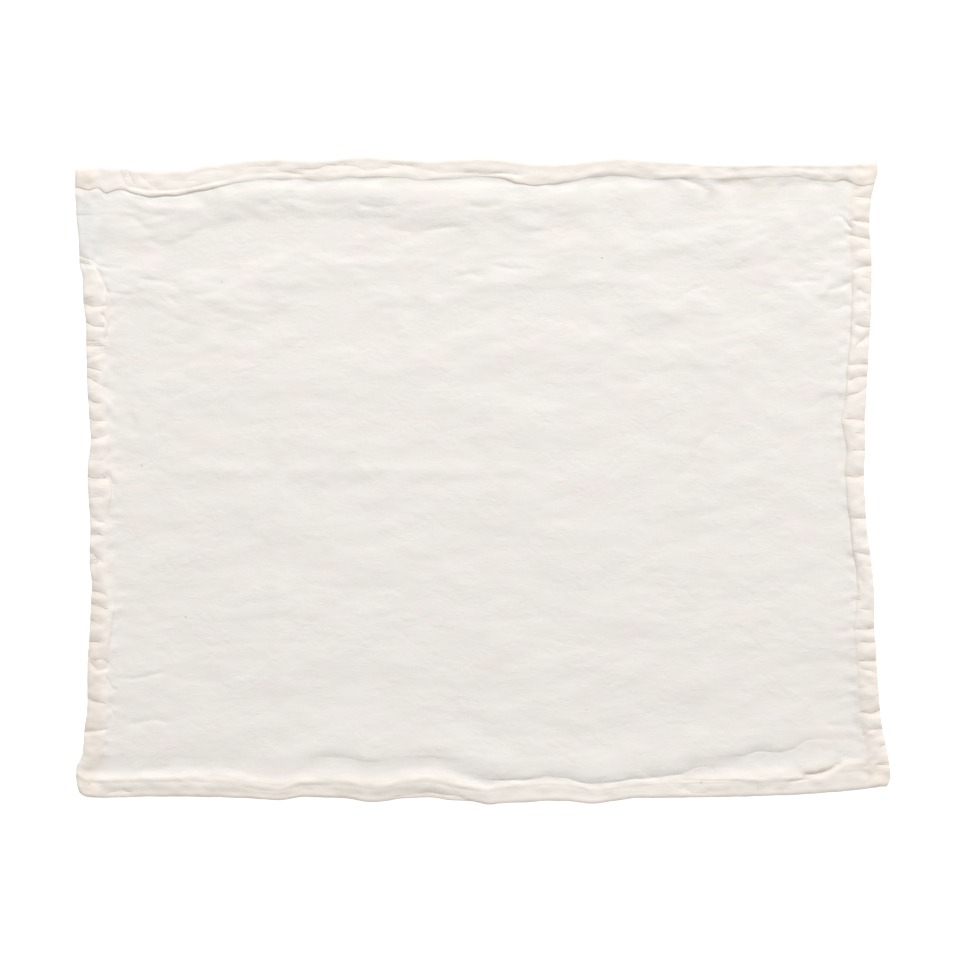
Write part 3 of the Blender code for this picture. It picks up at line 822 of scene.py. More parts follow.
def middle():
    """The middle of the outline's box, which is the part's origin."""
    x = np.linspace(-LENGTH / 2, LENGTH / 2, EDGE_POINTS)
    y = np.linspace(-DEPTH / 2, DEPTH / 2, EDGE_POINTS)
    across = (edge("left", y).min() + edge("right", y).max()) / 2
    along = (edge("bottom", x).min() + edge("top", x).max()) / 2
    return across, along


X_MIDDLE, Y_MIDDLE = middle()


def hem_depths(side, at):
    """How far in a hem's lines lie, with a row for each."""
    of_hem, plus, ragged = (HEM_LINES[name][:, None] for name in ("of_hem", "plus", "ragged"))
    return of_hem * curve(side, "hem", at) + plus + ragged * fold_stray(side, at)


def lay_lines(low_side, high_side, at, shares):
    """Where the lines between two sides lie. Each array has a row for each line."""
    low, high = edge(low_side, at), edge(high_side, at)
    first = low[:LINES] + hem_depths(low_side, at[:LINES])
    inside = low + INNER + (high - low - 2 * INNER) * np.pad(shares, LINES)[:, None]
    last = high[-LINES:] - hem_depths(high_side, at[: -LINES - 1 : -1])[::-1]
    return np.concatenate([first, inside[LINES:-LINES], last])


def cross_lines():
    """Where the mesh's uprights and levels cross."""
    x, y = np.meshgrid(
        np.linspace(-LENGTH / 2, LENGTH / 2, len(ACROSS) + 2 * LINES),
        np.linspace(-DEPTH / 2, DEPTH / 2, len(ALONG) + 2 * LINES),
        indexing="ij",
    )
    for _ in range(CROSSING_STEPS):
        x = lay_lines("left", "right", y, ACROSS)
        y = lay_lines("bottom", "top", x.T, ALONG).T
    return x, y


def flat_place(size, shares):
    """Where each line lies from one edge of the cloth before washing drew it in."""
    side = HEM_LINES["of_hem"] * CORNER + HEM_LINES["plus"]
    return np.concatenate([side, INNER + (size - 2 * INNER) * shares, size - side[::-1]])


class Lie:
    """How the mesh's crossings lie between the cloth's edges.

    side and end are the distances in from the nearest side edge and long edge, and side_fold and
    long_fold those from its hem's inner fold. fold is how sharply the side hem's shows.
    """

    def __init__(self):
        x, y = self.x, self.y = cross_lines()
        left, right = inward("left", y, x), inward("right", y, x)
        self.bottom, self.top = inward("bottom", x, y), inward("top", x, y)
        self.on_left, self.on_bottom = left < right, self.bottom < self.top
        self.side, self.end = np.minimum(left, right), np.minimum(self.bottom, self.top)
        self.side_hem = self.of_side("hem")
        self.fold = self.of_side("fold")
        self.side_fold = self.side - self.side_hem
        self.long_fold = self.end - self.on_long(curve("bottom", "hem", x), curve("top", "hem", x))

    def of_side(self, name):
        """A column of the nearest side's table."""
        return np.where(self.on_left, curve("left", name, self.y), curve("right", name, self.y))

    def on_long(self, bottom, top):
        """One value beside the bottom hem and another beside the top one."""
        return np.where(self.on_bottom, bottom, top)


# The cloth's folds, in millimetres.


def top_ridge(x, d):
    """The panel's ridge beside the top hem."""
    foot, lift = curve("top", "hem", x) + LIP, curve("top", "lift", x)
    crest = curve("top", "crest", x) + CREST_STRAY * uneven(x, 13.0, 72)

    def shape(d):
        rise = np.clip((d - foot) / (crest - foot), 0, 1)
        return lift * rise * (1 - smooth((d - crest) / RIDGE_FALL))

    return RIDGE_SHARE * rounded(shape, d)


def valley_line(x):
    """How far the trough is from the bottom edge."""
    stray = 0.8 * uneven(x, 9.0, 73) + 0.5 * uneven(x, 4.5, 75)
    return curve("bottom", "valley", x) + CREST_STRAY * stray


def bottom_ridge(x, d):
    """The bottom hem's raised inner fold, the trough beside it and the panel's ridge."""
    hem, roll, lift = (curve("bottom", name, x) for name in ("hem", "roll", "lift"))
    valley = valley_line(x)

    def shape(d):
        face = roll * smooth(d / hem) * np.clip((valley - d) / (valley - hem), 0, 1)
        rise = 1 - (1 - np.clip((d - valley) / DROP, 0, 1)) ** 2
        floor = VALLEY_FLOOR * smooth((d - valley) / FLOOR_SOFT + 1)
        fall = 1 - smooth((d - valley - DROP) / RIDGE_FALL)
        return face + lift * (floor + (1 - VALLEY_FLOOR) * rise) * fall

    trough = np.exp(-(((d - valley) / TROUGH_WIDE) ** 2)) * curve("bottom", "dark", x)
    return RIDGE_SHARE * rounded(shape, d) - TROUGH_DEEP * trough


def puckers(lie):
    """The side hems' fullness, crowned across them. It fades into the panel and to the corners."""
    crown = OUTER_CROWN + (1 - OUTER_CROWN) * np.sin(pi * np.clip(lie.side / lie.side_hem, 0, 1))
    fade = 1 - smooth(lie.side_fold / PUCKER_FADE)
    return PUCKER_LIFT * crown * fade * smooth((lie.end - CORNER) / CORNER_REST)


def pressed(x, y):
    """The soft folds in the panel."""
    total = np.zeros_like(x)
    for over, along, fold in [(y, x, PRESSED_ACROSS)] + [(x, y, fold) for fold in PRESSED_UP]:
        ridge = np.exp(-(((over - fold.at) / PRESS_WIDTH) ** 2))
        total = np.maximum(total, ridge * stretch(along, fold.low, fold.high, PRESS_END))
    return PRESS_LIFT * total


def crinkled(x, y):
    """The panel's washed-in crinkles, as a share of their height."""
    stray = all_hills(x, y, [STRAY])
    x, y = x + stray, y + 0.5 * stray
    total = all_hills(x, y, CRINKLES)
    for crinkle in SHARP_CRINKLES:
        patches = Crinkle(*FOLD_PATCHES, crinkle.turn, 1, crinkle.seed + 20)
        where = smooth(0.5 + hills(x, y, patches))
        total -= crinkle.share * np.exp(-((FOLD_EDGE * hills(x, y, crinkle)) ** 2)) * where
    low, high, more = TOP_MORE
    return total * (1 + more * smooth((y - low) / (high - low)))


def gathered(x, y, crinkles, from_fold):
    """The small lumps of a hem and of the panel beside it, as a share of the crinkles' height."""
    return all_hills(x, y, crinkles) * (1 - smooth(from_fold / HEM_RUN_ON))


def lay_hems(lie):
    """The hems' extra layers, and how far a long hem covers the side hem there."""
    columns, rows = lie.x.shape
    gap = curve("bottom", "valley", lie.x) - curve("bottom", "hem", lie.x)
    soft = lie.on_long(BOTTOM_SOFT[0] + BOTTOM_SOFT[1] * gap, HIDDEN_LONG)
    step = lie.on_long(BOTTOM_STEP[0] + BOTTOM_STEP[1] * gap, 0.0)
    sharp = lie.on_long(BOTTOM_FOLD, TOP_FOLD * curve("top", "fold", lie.x))
    cover = both_sides("layers", rows) * sharp + step_down(lie.long_fold - step, soft) * (1 - sharp)
    crisp = both_sides("layers", columns)[:, None]
    side = crisp * lie.fold + step_down(lie.side_fold, HIDDEN_SOFT) * (1 - lie.fold)
    side = side * (1 - cover) + step_down(lie.side_fold, CORNER_SOFT) * cover
    return side + cover, cover


def draw_in(lie, cover):
    """How far the seams draw the hems in, as a share of the deepest."""
    columns, rows = lie.x.shape
    sewn = lie.on_long(BOTTOM_SEAM, curve("top", "seam", lie.x))
    sewn = sewn * (1 + RAGGED_LONG * uneven(lie.x, 11.0, 71))
    side = SIDE_SEAM * both_sides("drawn", columns)[:, None] * (1 - cover) * lie.fold
    return both_sides("drawn", rows) * sewn + side


def raise_folds(lie, crinkle):
    """How far the cloth stands up, and how far its creases lower it."""
    x, y = lie.x, lie.y
    even = stretch(y, *SMOOTH_STRETCH, SMOOTH_END) * lie.on_left
    fullness = puckers(lie) * (1 - (1 - SMOOTH_PUCKERS) * even)
    ridges = np.maximum(top_ridge(x, lie.top), bottom_ridge(x, lie.bottom))
    raised = np.maximum(ridges, fullness) + pressed(x, y)

    start, over = CRINKLE_START
    small = crinkled(x, y) * smooth((np.minimum(lie.side_fold, lie.long_fold) - start) / over)
    small = small + gathered(x, y, SIDE_CRINKLES, lie.side_fold) * (1 - (1 - SMOOTH_LUMPS) * even)
    small = small + gathered(x, y, LONG_CRINKLES, lie.long_fold)

    across = smooth(lie.side / lie.side_hem)
    creases = creased(x, y, SIDE_CREASES, 1 + WEDGE * (0.5 - across)) * (1 - CREASE_TAPER * across)
    creases = creases + creased(x, y, OTHER_CREASES)
    return raised + crinkle * small - creases, creases


def shade_folds(lie, cover, creases):
    """How far the colour turns to the shade colour: painted shade in the creases and folds, and patches
    of painted shade and of browner tone.
    """
    x, y = lie.x, lie.y
    start, over = DEEP_FROM
    deep = DEEP_SHADE * smooth((creases - start) / over)
    # Painted shade along the top hem's sharp inner fold, then along the side hems'.
    from_fold = lie.top - curve("top", "hem", x) - fold_stray("top", x)
    by_fold = np.exp(-((from_fold / FOLD_REACH) ** 2)) * curve("top", "fold", x)
    deep = np.maximum(deep, FOLD_SHADE * by_fold * ~lie.on_bottom)
    from_fold = lie.side_fold - np.where(lie.on_left, fold_stray("left", y), fold_stray("right", y))
    by_fold = np.exp(-((from_fold / FOLD_REACH) ** 2)) * lie.fold
    deep = np.maximum(deep, FOLD_SHADE * by_fold * (1 - cover))
    # Patches of painted shade along the pressed folds and partly on the hems, and of the cloth's browner
    # tone on the rest.
    for brown_and_shade in BROWN_AND_SHADE_PATCHES:
        deep = deep + brown_and_shade.share * patch(x, y, brown_and_shade.x, brown_and_shade.y, brown_and_shade.long, brown_and_shade.wide, 4)
    return deep


def patch(x, y, x_middle, y_middle, long, wide, power):
    """From 1 in a patch to 0 outside it. The power says how sharply it ends along X."""
    return np.exp(-(((x - x_middle) / long) ** power) - ((y - y_middle) / wide) ** 4)


def mark_creases(lie, layers):
    """How far each point is from the nearest crease's line, or from the trough where that is marked more,
    and how strongly that is marked with a dent and painted shade.
    """
    line, dent_and_shade = crease_line(lie.x, lie.y, SIDE_CREASES + OTHER_CREASES)
    dent_and_shade = np.minimum(dent_and_shade, MOST_LINED) * (PANEL_LINED + (1 - PANEL_LINED) * np.minimum(layers, 1))
    # The trough beside the bottom hem is marked in the same way, with a dent and painted shade.
    from_valley = lie.bottom - valley_line(lie.x)
    valley = curve("bottom", "dark", lie.x) * (1 + RAGGED_LONG * uneven(lie.x, 14.0, 74))
    valley = valley * lie.on_bottom * mark_fade(from_valley)
    return np.where(valley > dent_and_shade, from_valley, line), np.maximum(valley, dent_and_shade)


def shape_cloth(layer, turning, crinkle):
    """Where the cloth's two faces lie at each crossing, and what its finish reads there."""
    lie = Lie()
    layers, cover = lay_hems(lie)
    thick = layer + turning * layers
    columns, rows = lie.x.shape
    rims = both_sides("rim", columns)[:, None], both_sides("rim", rows)
    rim = np.minimum(np.minimum(*rims), 1) * np.maximum(np.maximum(*rims), 1)
    raised, creases = raise_folds(lie, crinkle)
    upper = (np.maximum(raised, (LEAST - 1) * thick) + thick) * rim - SEAM_DEPTH * draw_in(lie, cover)
    line, dent_and_shade = mark_creases(lie, layers)
    # grey_shade is the painted grey shade on the left hem, deep the painted shade in creases and folds
    # with the browner patches, and dent_and_shade the dent and painted shade along crease lines.
    read = {
        "layers": layers,
        "grey_shade": patch(lie.x, lie.y, *GREY_SHADE_PATCH, 2),
        "deep": shade_folds(lie, cover, creases),
        "line": line,
        "dent_and_shade": dent_and_shade,
    }
    return lie.x, lie.y, upper, np.maximum(raised, 0), read


# Meshes.


def close_cloth(columns, rows):
    """Faces of the closed cloth: its upper face, its underside and the strip that joins them."""
    at = np.arange(columns * rows).reshape(columns, rows)
    sole = at[SOLE : columns - SOLE : SOLE_STEP, SOLE : rows - SOLE : SOLE_STEP]
    under = columns * rows + np.arange(sole.size).reshape(sole.shape)
    above = np.stack([at[:-1, :-1], at[1:, :-1], at[1:, 1:], at[:-1, 1:]], -1).reshape(-1, 4)
    below = np.stack([under[:-1, :-1], under[:-1, 1:], under[1:, 1:], under[1:, :-1]], -1).reshape(-1, 4)

    round_it = [(i, 0) for i in range(columns)] + [(columns - 1, j) for j in range(1, rows)]
    round_it += [(i, rows - 1) for i in reversed(range(columns - 1))]
    round_it += [(0, j) for j in reversed(range(rows - 1))]
    strip = []
    for (i, j), (k, m) in zip(round_it, round_it[1:]):
        near = under[nearest_sole(i, sole.shape[0]), nearest_sole(j, sole.shape[1])]
        far = under[nearest_sole(k, sole.shape[0]), nearest_sole(m, sole.shape[1])]
        corner = [near] if near == far else [near, far]
        strip.append([*corner, at[k, m], at[i, j]])
    return sole.ravel(), above.tolist() + below.tolist() + strip


def nearest_sole(line, count):
    """The underside's line that lies below a line of the upper face."""
    return min(max((line - SOLE) // SOLE_STEP, 0), count - 1)


def add_object(name, mesh):
    """A mesh as an object of the scene."""
    item = bpy.data.objects.new(name, mesh)
    bpy.context.scene.collection.objects.link(item)
    return item


def start_piece():
    """Leave edit mode and select nothing, before a primitive is added."""
    if bpy.context.mode != "OBJECT":
        bpy.ops.object.mode_set(mode="OBJECT")
    bpy.ops.object.select_all(action="DESELECT")


def model_stitch(length, radius):
    """One stitch: a thread's length that dips into the cloth at both ends."""
    start_piece()
    bpy.ops.mesh.primitive_uv_sphere_add(segments=6, ring_count=8, radius=1.0)
    stitch = bpy.context.active_object
    bpy.ops.object.mode_set(mode="EDIT")
    bpy.ops.mesh.select_all(action="SELECT")
    bpy.ops.transform.rotate(value=pi / 2, orient_axis="Y", center_override=(0, 0, 0))
    bpy.ops.transform.resize(value=(length / 2, radius, radius), center_override=(0, 0, 0))
    bpy.ops.object.mode_set(mode="OBJECT")
    for vertex in stitch.data.vertices:
        vertex.select = abs(vertex.co.x) > STITCH_DIP * length
    bpy.ops.object.mode_set(mode="EDIT")
    bpy.ops.transform.translate(value=(0, 0, -radius))
    bpy.ops.object.mode_set(mode="OBJECT")
    return stitch


def sew(name, sewing, places):
    """One piece of stitches at their places, which are matrices."""
    template = model_stitch(sewing.stitch, sewing.radius)
    start_piece()
    for place in places:
        mesh = template.data.copy()
        mesh.transform(place)
        add_object(name, mesh).select_set(True)
    bpy.data.objects.remove(template, do_unlink=True)
    piece = bpy.context.selected_objects[0]
    bpy.context.view_layer.objects.active = piece
    bpy.ops.object.join()
    bpy.ops.object.shade_smooth()
    dress(piece, sewing_thread(sewing))


def on_cloth(cloth, x, y):
    """A point of the cloth's upper face. x and y are in millimetres on the tables' axes."""
    above = Vector(((x - X_MIDDLE) * MM, (y - Y_MIDDLE) * MM, 1.0))
    hit, place, _, _ = cloth.ray_cast(above, Vector((0, 0, -1)))
    if not hit:
        raise RuntimeError(f"no cloth under {x:.1f}, {y:.1f}")
    return place


def between(start, end, sink):
    """The matrix that lays a stitch from one point to another, sunk a little into the cloth."""
    along = (end - start).normalized()
    side = Vector((0, 0, 1)).cross(along).normalized()
    up = along.cross(side)
    turned = Matrix((along, side, up)).transposed().to_4x4()
    return Matrix.Translation((start + end) / 2 - up * sink) @ turned


def seams():
    """The four seams' routes, as arrays of x and y. The long ones run on over the side hems."""
    end = DEPTH / 2 - CORNER
    from_edge, from_corner = SEAM_ENDS
    for side, beside in (("top", end), ("bottom", -end)):
        low, high = edge("left", beside) + from_edge, edge("right", beside) - from_edge
        x = np.linspace(low, high, SEAM_POINTS)
        yield x, seam_place(side, x)
    for side in ("left", "right"):
        y = np.linspace(from_corner - end, end - from_corner, SEAM_POINTS)
        yield seam_place(side, y), y


def seam_place(side, at):
    """Where a side's seam runs."""
    return edge(side, at) - SIDE_LINES[side].out * (curve(side, "hem", at) - SEAM)


def stitch_places(cloth, sewing):
    """A matrix for each stitch of the four seams."""
    length, pitch = sewing.stitch / MM, sewing.pitch / MM
    for x, y in seams():
        run = np.concatenate([[0], np.cumsum(np.hypot(np.diff(x), np.diff(y)))])
        for at in np.arange(length / 2, run[-1] - length / 2, pitch):
            ends = at + np.array([-STITCH_REACH, STITCH_REACH]) * length
            start, end = zip(np.interp(ends, run, x), np.interp(ends, run, y))
            sink = STITCH_SINK * sewing.radius
            yield between(on_cloth(cloth, *start), on_cloth(cloth, *end), sink)


# Materials.


class Wire:
    """A socket in a material, on which Python's arithmetic adds Math nodes."""

    def __init__(self, finish, socket):
        self.finish = finish
        self.socket = socket

    def math(self, operation, *values):
        return self.finish.node("ShaderNodeMath", {"operation": operation}, dict(enumerate(values)))

    def __add__(self, other):
        return self.math("ADD", self, other)

    __radd__ = __add__

    def __sub__(self, other):
        return self.math("SUBTRACT", self, other)

    def __rsub__(self, other):
        return self.math("SUBTRACT", other, self)

    def __mul__(self, other):
        return self.math("MULTIPLY", self, other)

    __rmul__ = __mul__

    def __abs__(self):
        return self.larger(0 - self)

    def sine(self):
        return self.math("SINE", self)

    def larger(self, other):
        return self.math("MAXIMUM", self, other)

    def ramp(self, low, high):
        """From 0 at low to 1 at high, soft at both."""
        sockets = {"Value": self, "From Min": low, "From Max": high}
        return self.finish.node("ShaderNodeMapRange", {"interpolation_type": "SMOOTHSTEP"}, sockets)


class Finish:
    """A material and the nodes added to it."""

    def __init__(self, name):
        self.material = bpy.data.materials.new(name)
        self.material.use_nodes = True
        self.nodes = self.material.node_tree.nodes
        self.shader = self.nodes["Principled BSDF"]

    def node(self, kind, settings, sockets, out=None):
        """Add a node, set it, feed its sockets and give one output."""
        node = self.nodes.new(kind)
        for name, value in settings.items():
            setattr(node, name, value)
        for key, value in sockets.items():
            self.feed(pick(node.inputs, key), value)
        return Wire(self, pick(node.outputs, out or 0))

    def feed(self, socket, value):
        """Link a wire to a socket, or set its value. Colours come without alpha."""
        if isinstance(value, Wire):
            self.material.node_tree.links.new(value.socket, socket)
        else:
            socket.default_value = (*value, 1.0) if socket.type == "RGBA" else value

    def surface(self, **values):
        """Feed the shader's sockets, with _ for a space in their names."""
        for name, value in values.items():
            self.feed(self.shader.inputs[name.replace("_", " ")], value)

    def mix(self, share, first, second):
        """From the first colour to the second."""
        sockets = {"Factor": share, "A": first, "B": second}
        return self.node("ShaderNodeMix", {"data_type": "RGBA"}, sockets, "Result")

    def scaled(self, vector, by, shift=(0, 0, 0)):
        sockets = {0: vector, 1: by, 2: shift}
        return self.node("ShaderNodeVectorMath", {"operation": "MULTIPLY_ADD"}, sockets)

    def parts(self, vector):
        """A vector's x and y."""
        return [self.node("ShaderNodeSeparateXYZ", {}, {0: vector}, name) for name in ("X", "Y")]

    def place(self):
        """The place on the object, in metres."""
        return self.node("ShaderNodeTexCoord", {}, {}, "Object")

    def grain(self, vector, long, wide, seed, detail=2.0):
        """Noise from 0 to 1 over a place in millimetres, about so long along x and so wide along y."""
        shift = (seed * SEED_SHIFT[0], seed * SEED_SHIFT[1], 0)
        place = self.scaled(vector, (1 / long, 1 / wide, 1.0), shift)
        sockets = {"Vector": place, "Scale": 1.0, "Detail": detail}
        return self.node("ShaderNodeTexNoise", {"noise_dimensions": "2D"}, sockets)

    def attribute(self, name):
        return self.node("ShaderNodeAttribute", {"attribute_name": name}, {}, "Fac")

    def bump(self, height):
        """A normal for a height in millimetres."""
        return self.node("ShaderNodeBump", {}, {"Strength": 1.0, "Distance": 1.0, "Height": height * MM})


def pick(sockets, key):
    """A socket by its place, or by name among those in use."""
    if isinstance(key, int):
        return sockets[key]
    return next(socket for socket in sockets if socket.enabled and socket.name == key)


def plain_weave(finish, place, thread):
    """An uneven weave's height, from 0 to about 1: the upper one of its weft and its warp."""
    wander = finish.grain(place, 30, 9, 1) - 0.5
    across, along = finish.parts(place)
    turns = pi / (thread / MM)
    u = (across + wander * 0.9) * turns
    v = (along + wander * 1.6) * turns
    over = u.sine() * v.sine()
    weft = (v * 2 - pi / 2).sine() + over
    warp = (u * 2 - pi / 2).sine() - over
    return weft.larger(warp) * 0.5


def linen(cloth):
    """Washed linen: a plain weave with slubs, creamier where it is folded over, with painted shade in its
    creases and folds.
    """
    finish = Finish("washed_linen")
    flat = finish.node("ShaderNodeUVMap", {"uv_map": "flat"}, {})
    place = finish.scaled(flat, (1 / MM, 1 / MM, 0))

    def grain(long, wide, seed, detail=2.0):
        return finish.grain(place, long, wide, seed, detail)

    weft_streak, long_streak, warp_streak = grain(4.0, 0.9, 2), grain(11, 1.1, 3), grain(0.9, 6, 4)
    thick_thread = weft_streak.ramp(0.62, 0.80)
    slub = grain(10.0, 1.3, 10, 0.0).ramp(0.72, 0.86)
    crumple, small_crumple = abs(grain(12, 9, 11) - 0.5), abs(grain(6.5, 5.0, 12) - 0.5)
    patches = grain(30, 22, 13, 1.0).ramp(0.35, 0.65)
    # A crease's mark, strongest on its line: a dent in the height and painted shade in the colour.
    mark = (1 - abs(finish.attribute("line")).ramp(0.0, 1.0)) * finish.attribute("dent_and_shade")
    mark = mark * (grain(4.5, 4.5, 14).ramp(0.3, 0.6) * 0.75 + 0.25)

    # Each grain's height in millimetres.
    height = plain_weave(finish, place, cloth.thread) * 0.008
    height = height + weft_streak * 0.012 + long_streak * 0.013 + warp_streak * 0.012
    height = height + grain(5.0, 3.3, 5) * 0.055 + thick_thread * 0.010 + slub * 0.04
    height = height + crumple * (patches * 0.35 + 0.15) + small_crumple * (patches * 0.12 + 0.05)
    height = height - mark * 0.20

    # Each colour that goes over the ones before it, with its share.
    layers = finish.attribute("layers")
    green = grain(26, 14, 7, 4.0).ramp(0.45, 0.70)
    colours = [
        (grain(34, 20, 6, 4.0).ramp(0.40, 0.68), cloth.blush),
        (green, cloth.moss),
        (grain(30, 24, 9, 4.0).ramp(0.48, 0.72), cloth.lilac),
        (layers.ramp(0, 1), finish.mix(green * 0.4, cloth.hem, cloth.moss)),
        (layers.ramp(1, 2), cloth.corner),
        # Painted grey shade on the left hem's smooth stretch.
        (finish.attribute("grey_shade") * 0.8, cloth.grey_shade),
        # Painted shade in the creases, folds and trough and along the pressed folds, with browner patches
        # that are partly the cloth's own tone.
        (finish.attribute("deep") + mark * 0.28, cloth.shade),
        (thick_thread * 0.2, cloth.slub),
        (long_streak.ramp(0.5, 0.8) * 0.15, cloth.slub),
        (dark_slubs(finish), cloth.speck),
    ]
    tone = cloth.panel
    for share, over in colours:
        tone = finish.mix(share, tone, over)

    finish.surface(Base_Color=tone, Normal=finish.bump(height), Roughness=0.88)
    finish.surface(Specular_IOR_Level=0.25, Sheen_Weight=0.08, Sheen_Roughness=0.6)
    return finish.material


def dark_slubs(finish):
    """The dark slubs' share of the colour. They lie along the weft."""
    place = finish.place()
    marks = 0.0
    for slub in DARK_SLUBS:
        long, wide = SLUB_LONG * slub.radius, slub.radius
        shift = ((X_MIDDLE - slub.x) / long, (Y_MIDDLE - slub.y) / wide, 0)
        from_slub = finish.scaled(place, (1 / MM / long, 1 / MM / wide, 0), shift)
        away = finish.node("ShaderNodeVectorMath", {"operation": "LENGTH"}, {0: from_slub}, "Value")
        marks = (1 - away.ramp(*SLUB_EDGE)) + marks
    return marks * SLUB_DARK


def sewing_thread(sewing):
    """Matt cotton thread with a twist."""
    finish = Finish("sewing_thread")
    place = finish.scaled(finish.place(), (1 / MM, 1 / MM, 1 / MM))
    across, along = finish.parts(place)
    twist = ((across + along) * TWIST).sine()
    darker = tuple(THREAD_SHADE * part for part in sewing.thread)
    tone = finish.mix(finish.grain(place, 3.0, 3.0, 8), sewing.thread, darker)
    finish.surface(Base_Color=tone, Normal=finish.bump(twist * TWIST_HEIGHT), Roughness=0.8)
    return finish.material


def paper(stage):
    """The pale floor's matt finish."""
    finish = Finish("pale_floor")
    finish.surface(Base_Color=stage.floor, Roughness=1.0, Specular_IOR_Level=0.0)
    finish.surface(Emission_Color=stage.floor, Emission_Strength=stage.glow)
    return finish.material


def dress(piece, material):
    """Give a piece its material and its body."""
    piece.data.materials.clear()
    piece.data.materials.append(material)
    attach(piece, "root")


# Operators and their panel.


class PLACEMAT_OT_lay_cloth(bpy.types.Operator):
    """Lay the cloth with its hems folded over"""

    bl_idname = "placemat.lay_cloth"
    bl_label = "Lay Cloth"

    def execute(self, context):
        settings = context.scene.placemat_cloth
        sizes = (settings.layer / MM, settings.turning / MM, settings.crinkle / MM)
        x, y, upper, lower, read = shape_cloth(*sizes)
        sole, faces = close_cloth(*x.shape)
        above, below = (
            np.stack([x.ravel() - X_MIDDLE, y.ravel() - Y_MIDDLE, face.ravel()], 1)
            for face in (upper, lower)
        )
        points = np.concatenate([above, below[sole]]) * MM
        mesh = bpy.data.meshes.new("linen_cloth")
        mesh.from_pydata(points.tolist(), [], faces)
        mesh.shade_smooth()

        for name, values in read.items():
            both = np.concatenate([values.ravel(), values.ravel()[sole]])
            mesh.attributes.new(name, "FLOAT", "POINT").data.foreach_set("value", both)
        u, v = np.meshgrid(flat_place(LENGTH, ACROSS), flat_place(DEPTH, ALONG), indexing="ij")
        flat = np.stack([u.ravel(), v.ravel()], 1) * MM
        flat = np.concatenate([flat, flat[sole]])
        corners = np.empty(len(mesh.loops), np.int32)
        mesh.loops.foreach_get("vertex_index", corners)
        mesh.uv_layers.new(name="flat").uv.foreach_set("vector", flat[corners].ravel())

        cloth = add_object("linen_cloth", mesh)
        dress(cloth, linen(settings))
        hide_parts(CLOTH_NODE)
        return {"FINISHED"}


class PLACEMAT_OT_sew_seams(bpy.types.Operator):
    """Sew a line of stitches beside each hem's inner fold"""

    bl_idname = "placemat.sew_seams"
    bl_label = "Sew Seams"

    def execute(self, context):
        context.view_layer.update()
        sewing = context.scene.placemat_sewing
        places = list(stitch_places(bpy.data.objects["linen_cloth"], sewing))
        sew("hem_seams", sewing, places)
        return {"FINISHED"}


class PLACEMAT_OT_tack_corners(bpy.types.Operator):
    """Tack the hems' corners with a short bar of thread"""

    bl_idname = "placemat.tack_corners"
    bl_label = "Tack Corners"

    def execute(self, context):
        context.view_layer.update()
        sewing = context.scene.placemat_sewing
        cloth = bpy.data.objects["linen_cloth"]
        half, apart = sewing.stitch / MM / 2, STRANDS_APART * sewing.radius / MM
        places = []
        for tack in TACKS:
            turn = radians(tack.turn)
            for strand in range(sewing.strands):
                aside = (strand - (sewing.strands - 1) / 2) * apart
                x, y = tack.x - aside * sin(turn), tack.y + aside * cos(turn)
                start = on_cloth(cloth, x - half * cos(turn), y - half * sin(turn))
                end = on_cloth(cloth, x + half * cos(turn), y + half * sin(turn))
                places.append(between(start, end, 0.0))
        sew("corner_tacks", sewing, places)
        return {"FINISHED"}


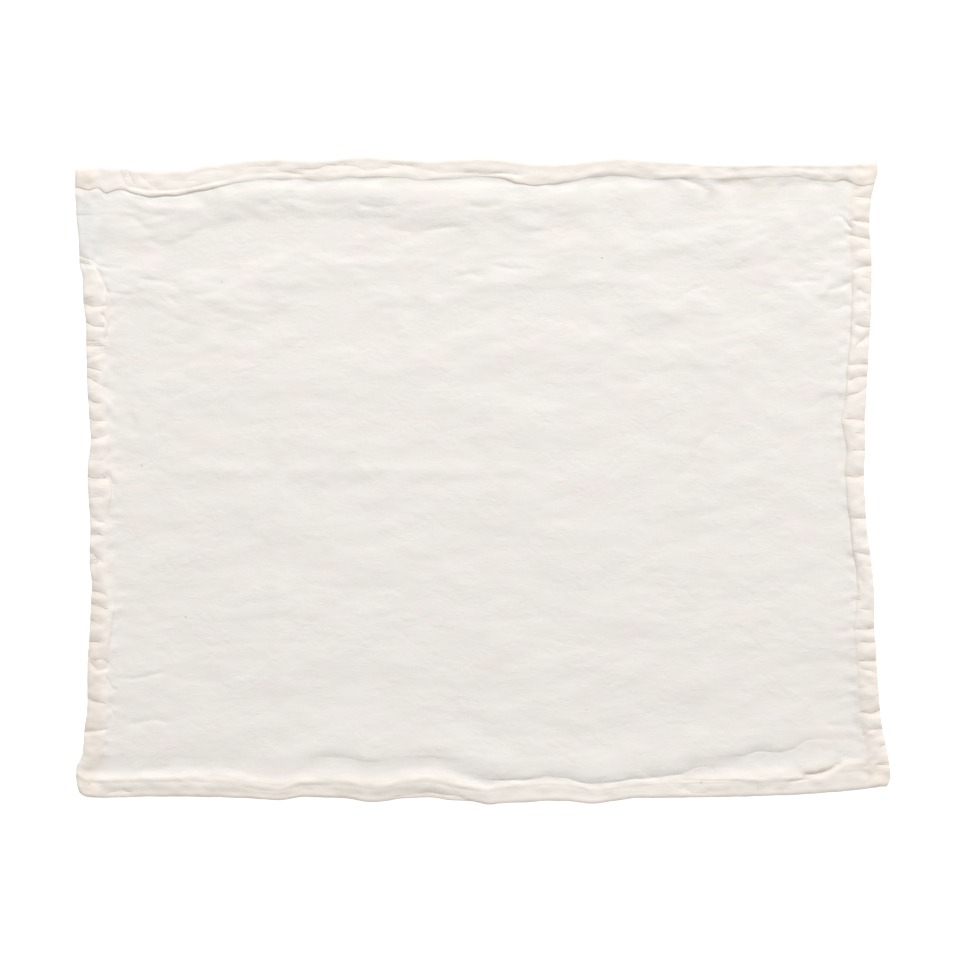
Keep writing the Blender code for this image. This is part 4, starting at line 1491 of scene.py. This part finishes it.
class PLACEMAT_OT_set_stage(bpy.types.Operator):
    """Set a pale floor, a large soft light and the camera"""

    bl_idname = "placemat.set_stage"
    bl_label = "Set Stage"

    def execute(self, context):
        stage = context.scene.placemat_stage
        start_piece()
        bpy.ops.mesh.primitive_plane_add(size=stage.floor_size, location=(0, 0, -UNDER_CLOTH * MM))
        bpy.ops.object.transform_apply(location=True, rotation=False, scale=False)
        floor = context.active_object
        floor.name = "floor"
        floor.data.materials.append(paper(stage))

        level = cos(stage.key_height)
        toward = Vector((sin(stage.key_turn) * level, cos(stage.key_turn) * level, sin(stage.key_height)))
        turned = toward.to_track_quat("Z", "Y").to_euler()
        bpy.ops.object.light_add(type="AREA", location=toward * stage.key_distance, rotation=turned)
        key = context.active_object
        key.name = "key_light"
        key.data.shape = "SQUARE"
        key.data.size = stage.key_size
        key.data.energy = stage.key

        world = context.scene.world or bpy.data.worlds.new("pale_surroundings")
        context.scene.world = world
        world.use_nodes = True
        sky = world.node_tree.nodes["Background"]
        sky.inputs["Color"].default_value = (1, 1, 1, 1)
        sky.inputs["Strength"].default_value = stage.fill

        over = ((FACE[0] - X_MIDDLE) * MM, (FACE[1] - Y_MIDDLE) * MM, stage.height)
        bpy.ops.object.camera_add(location=over, rotation=(0, 0, 0))
        camera = context.active_object
        camera.name = "camera"
        camera.data.lens = stage.lens
        context.scene.camera = camera
        context.scene.view_settings.view_transform = "Standard"
        return {"FINISHED"}


STEPS = ["set_stage", "lay_cloth", "sew_seams", "tack_corners"]


class PLACEMAT_PT_maker(bpy.types.Panel):
    """The steps and their settings"""

    bl_label = "Placemat"
    bl_space_type = "VIEW_3D"
    bl_region_type = "UI"
    bl_category = "Placemat"

    def draw(self, context):
        for group in GROUPS:
            settings = getattr(context.scene, group)
            box = self.layout.box()
            for name in settings.bl_rna.properties.keys():
                if name not in ("rna_type", "name"):
                    box.prop(settings, name)
        for step in STEPS:
            self.layout.operator("placemat." + step)


GROUPS = {
    "placemat_cloth": PlacematCloth,
    "placemat_sewing": PlacematSewing,
    "placemat_stage": PlacematStage,
}
CLASSES = [
    *GROUPS.values(),
    PLACEMAT_OT_lay_cloth,
    PLACEMAT_OT_sew_seams,
    PLACEMAT_OT_tack_corners,
    PLACEMAT_OT_set_stage,
    PLACEMAT_PT_maker,
]


def register():
    for item in CLASSES:
        bpy.utils.register_class(item)
    for name, group in GROUPS.items():
        setattr(bpy.types.Scene, name, PointerProperty(type=group))


def unregister():
    for name in GROUPS:
        delattr(bpy.types.Scene, name)
    for item in reversed(CLASSES):
        bpy.utils.unregister_class(item)


def main():
    register()
    for step in STEPS:
        getattr(bpy.ops.placemat, step)()


if __name__ == "__main__":
    main()
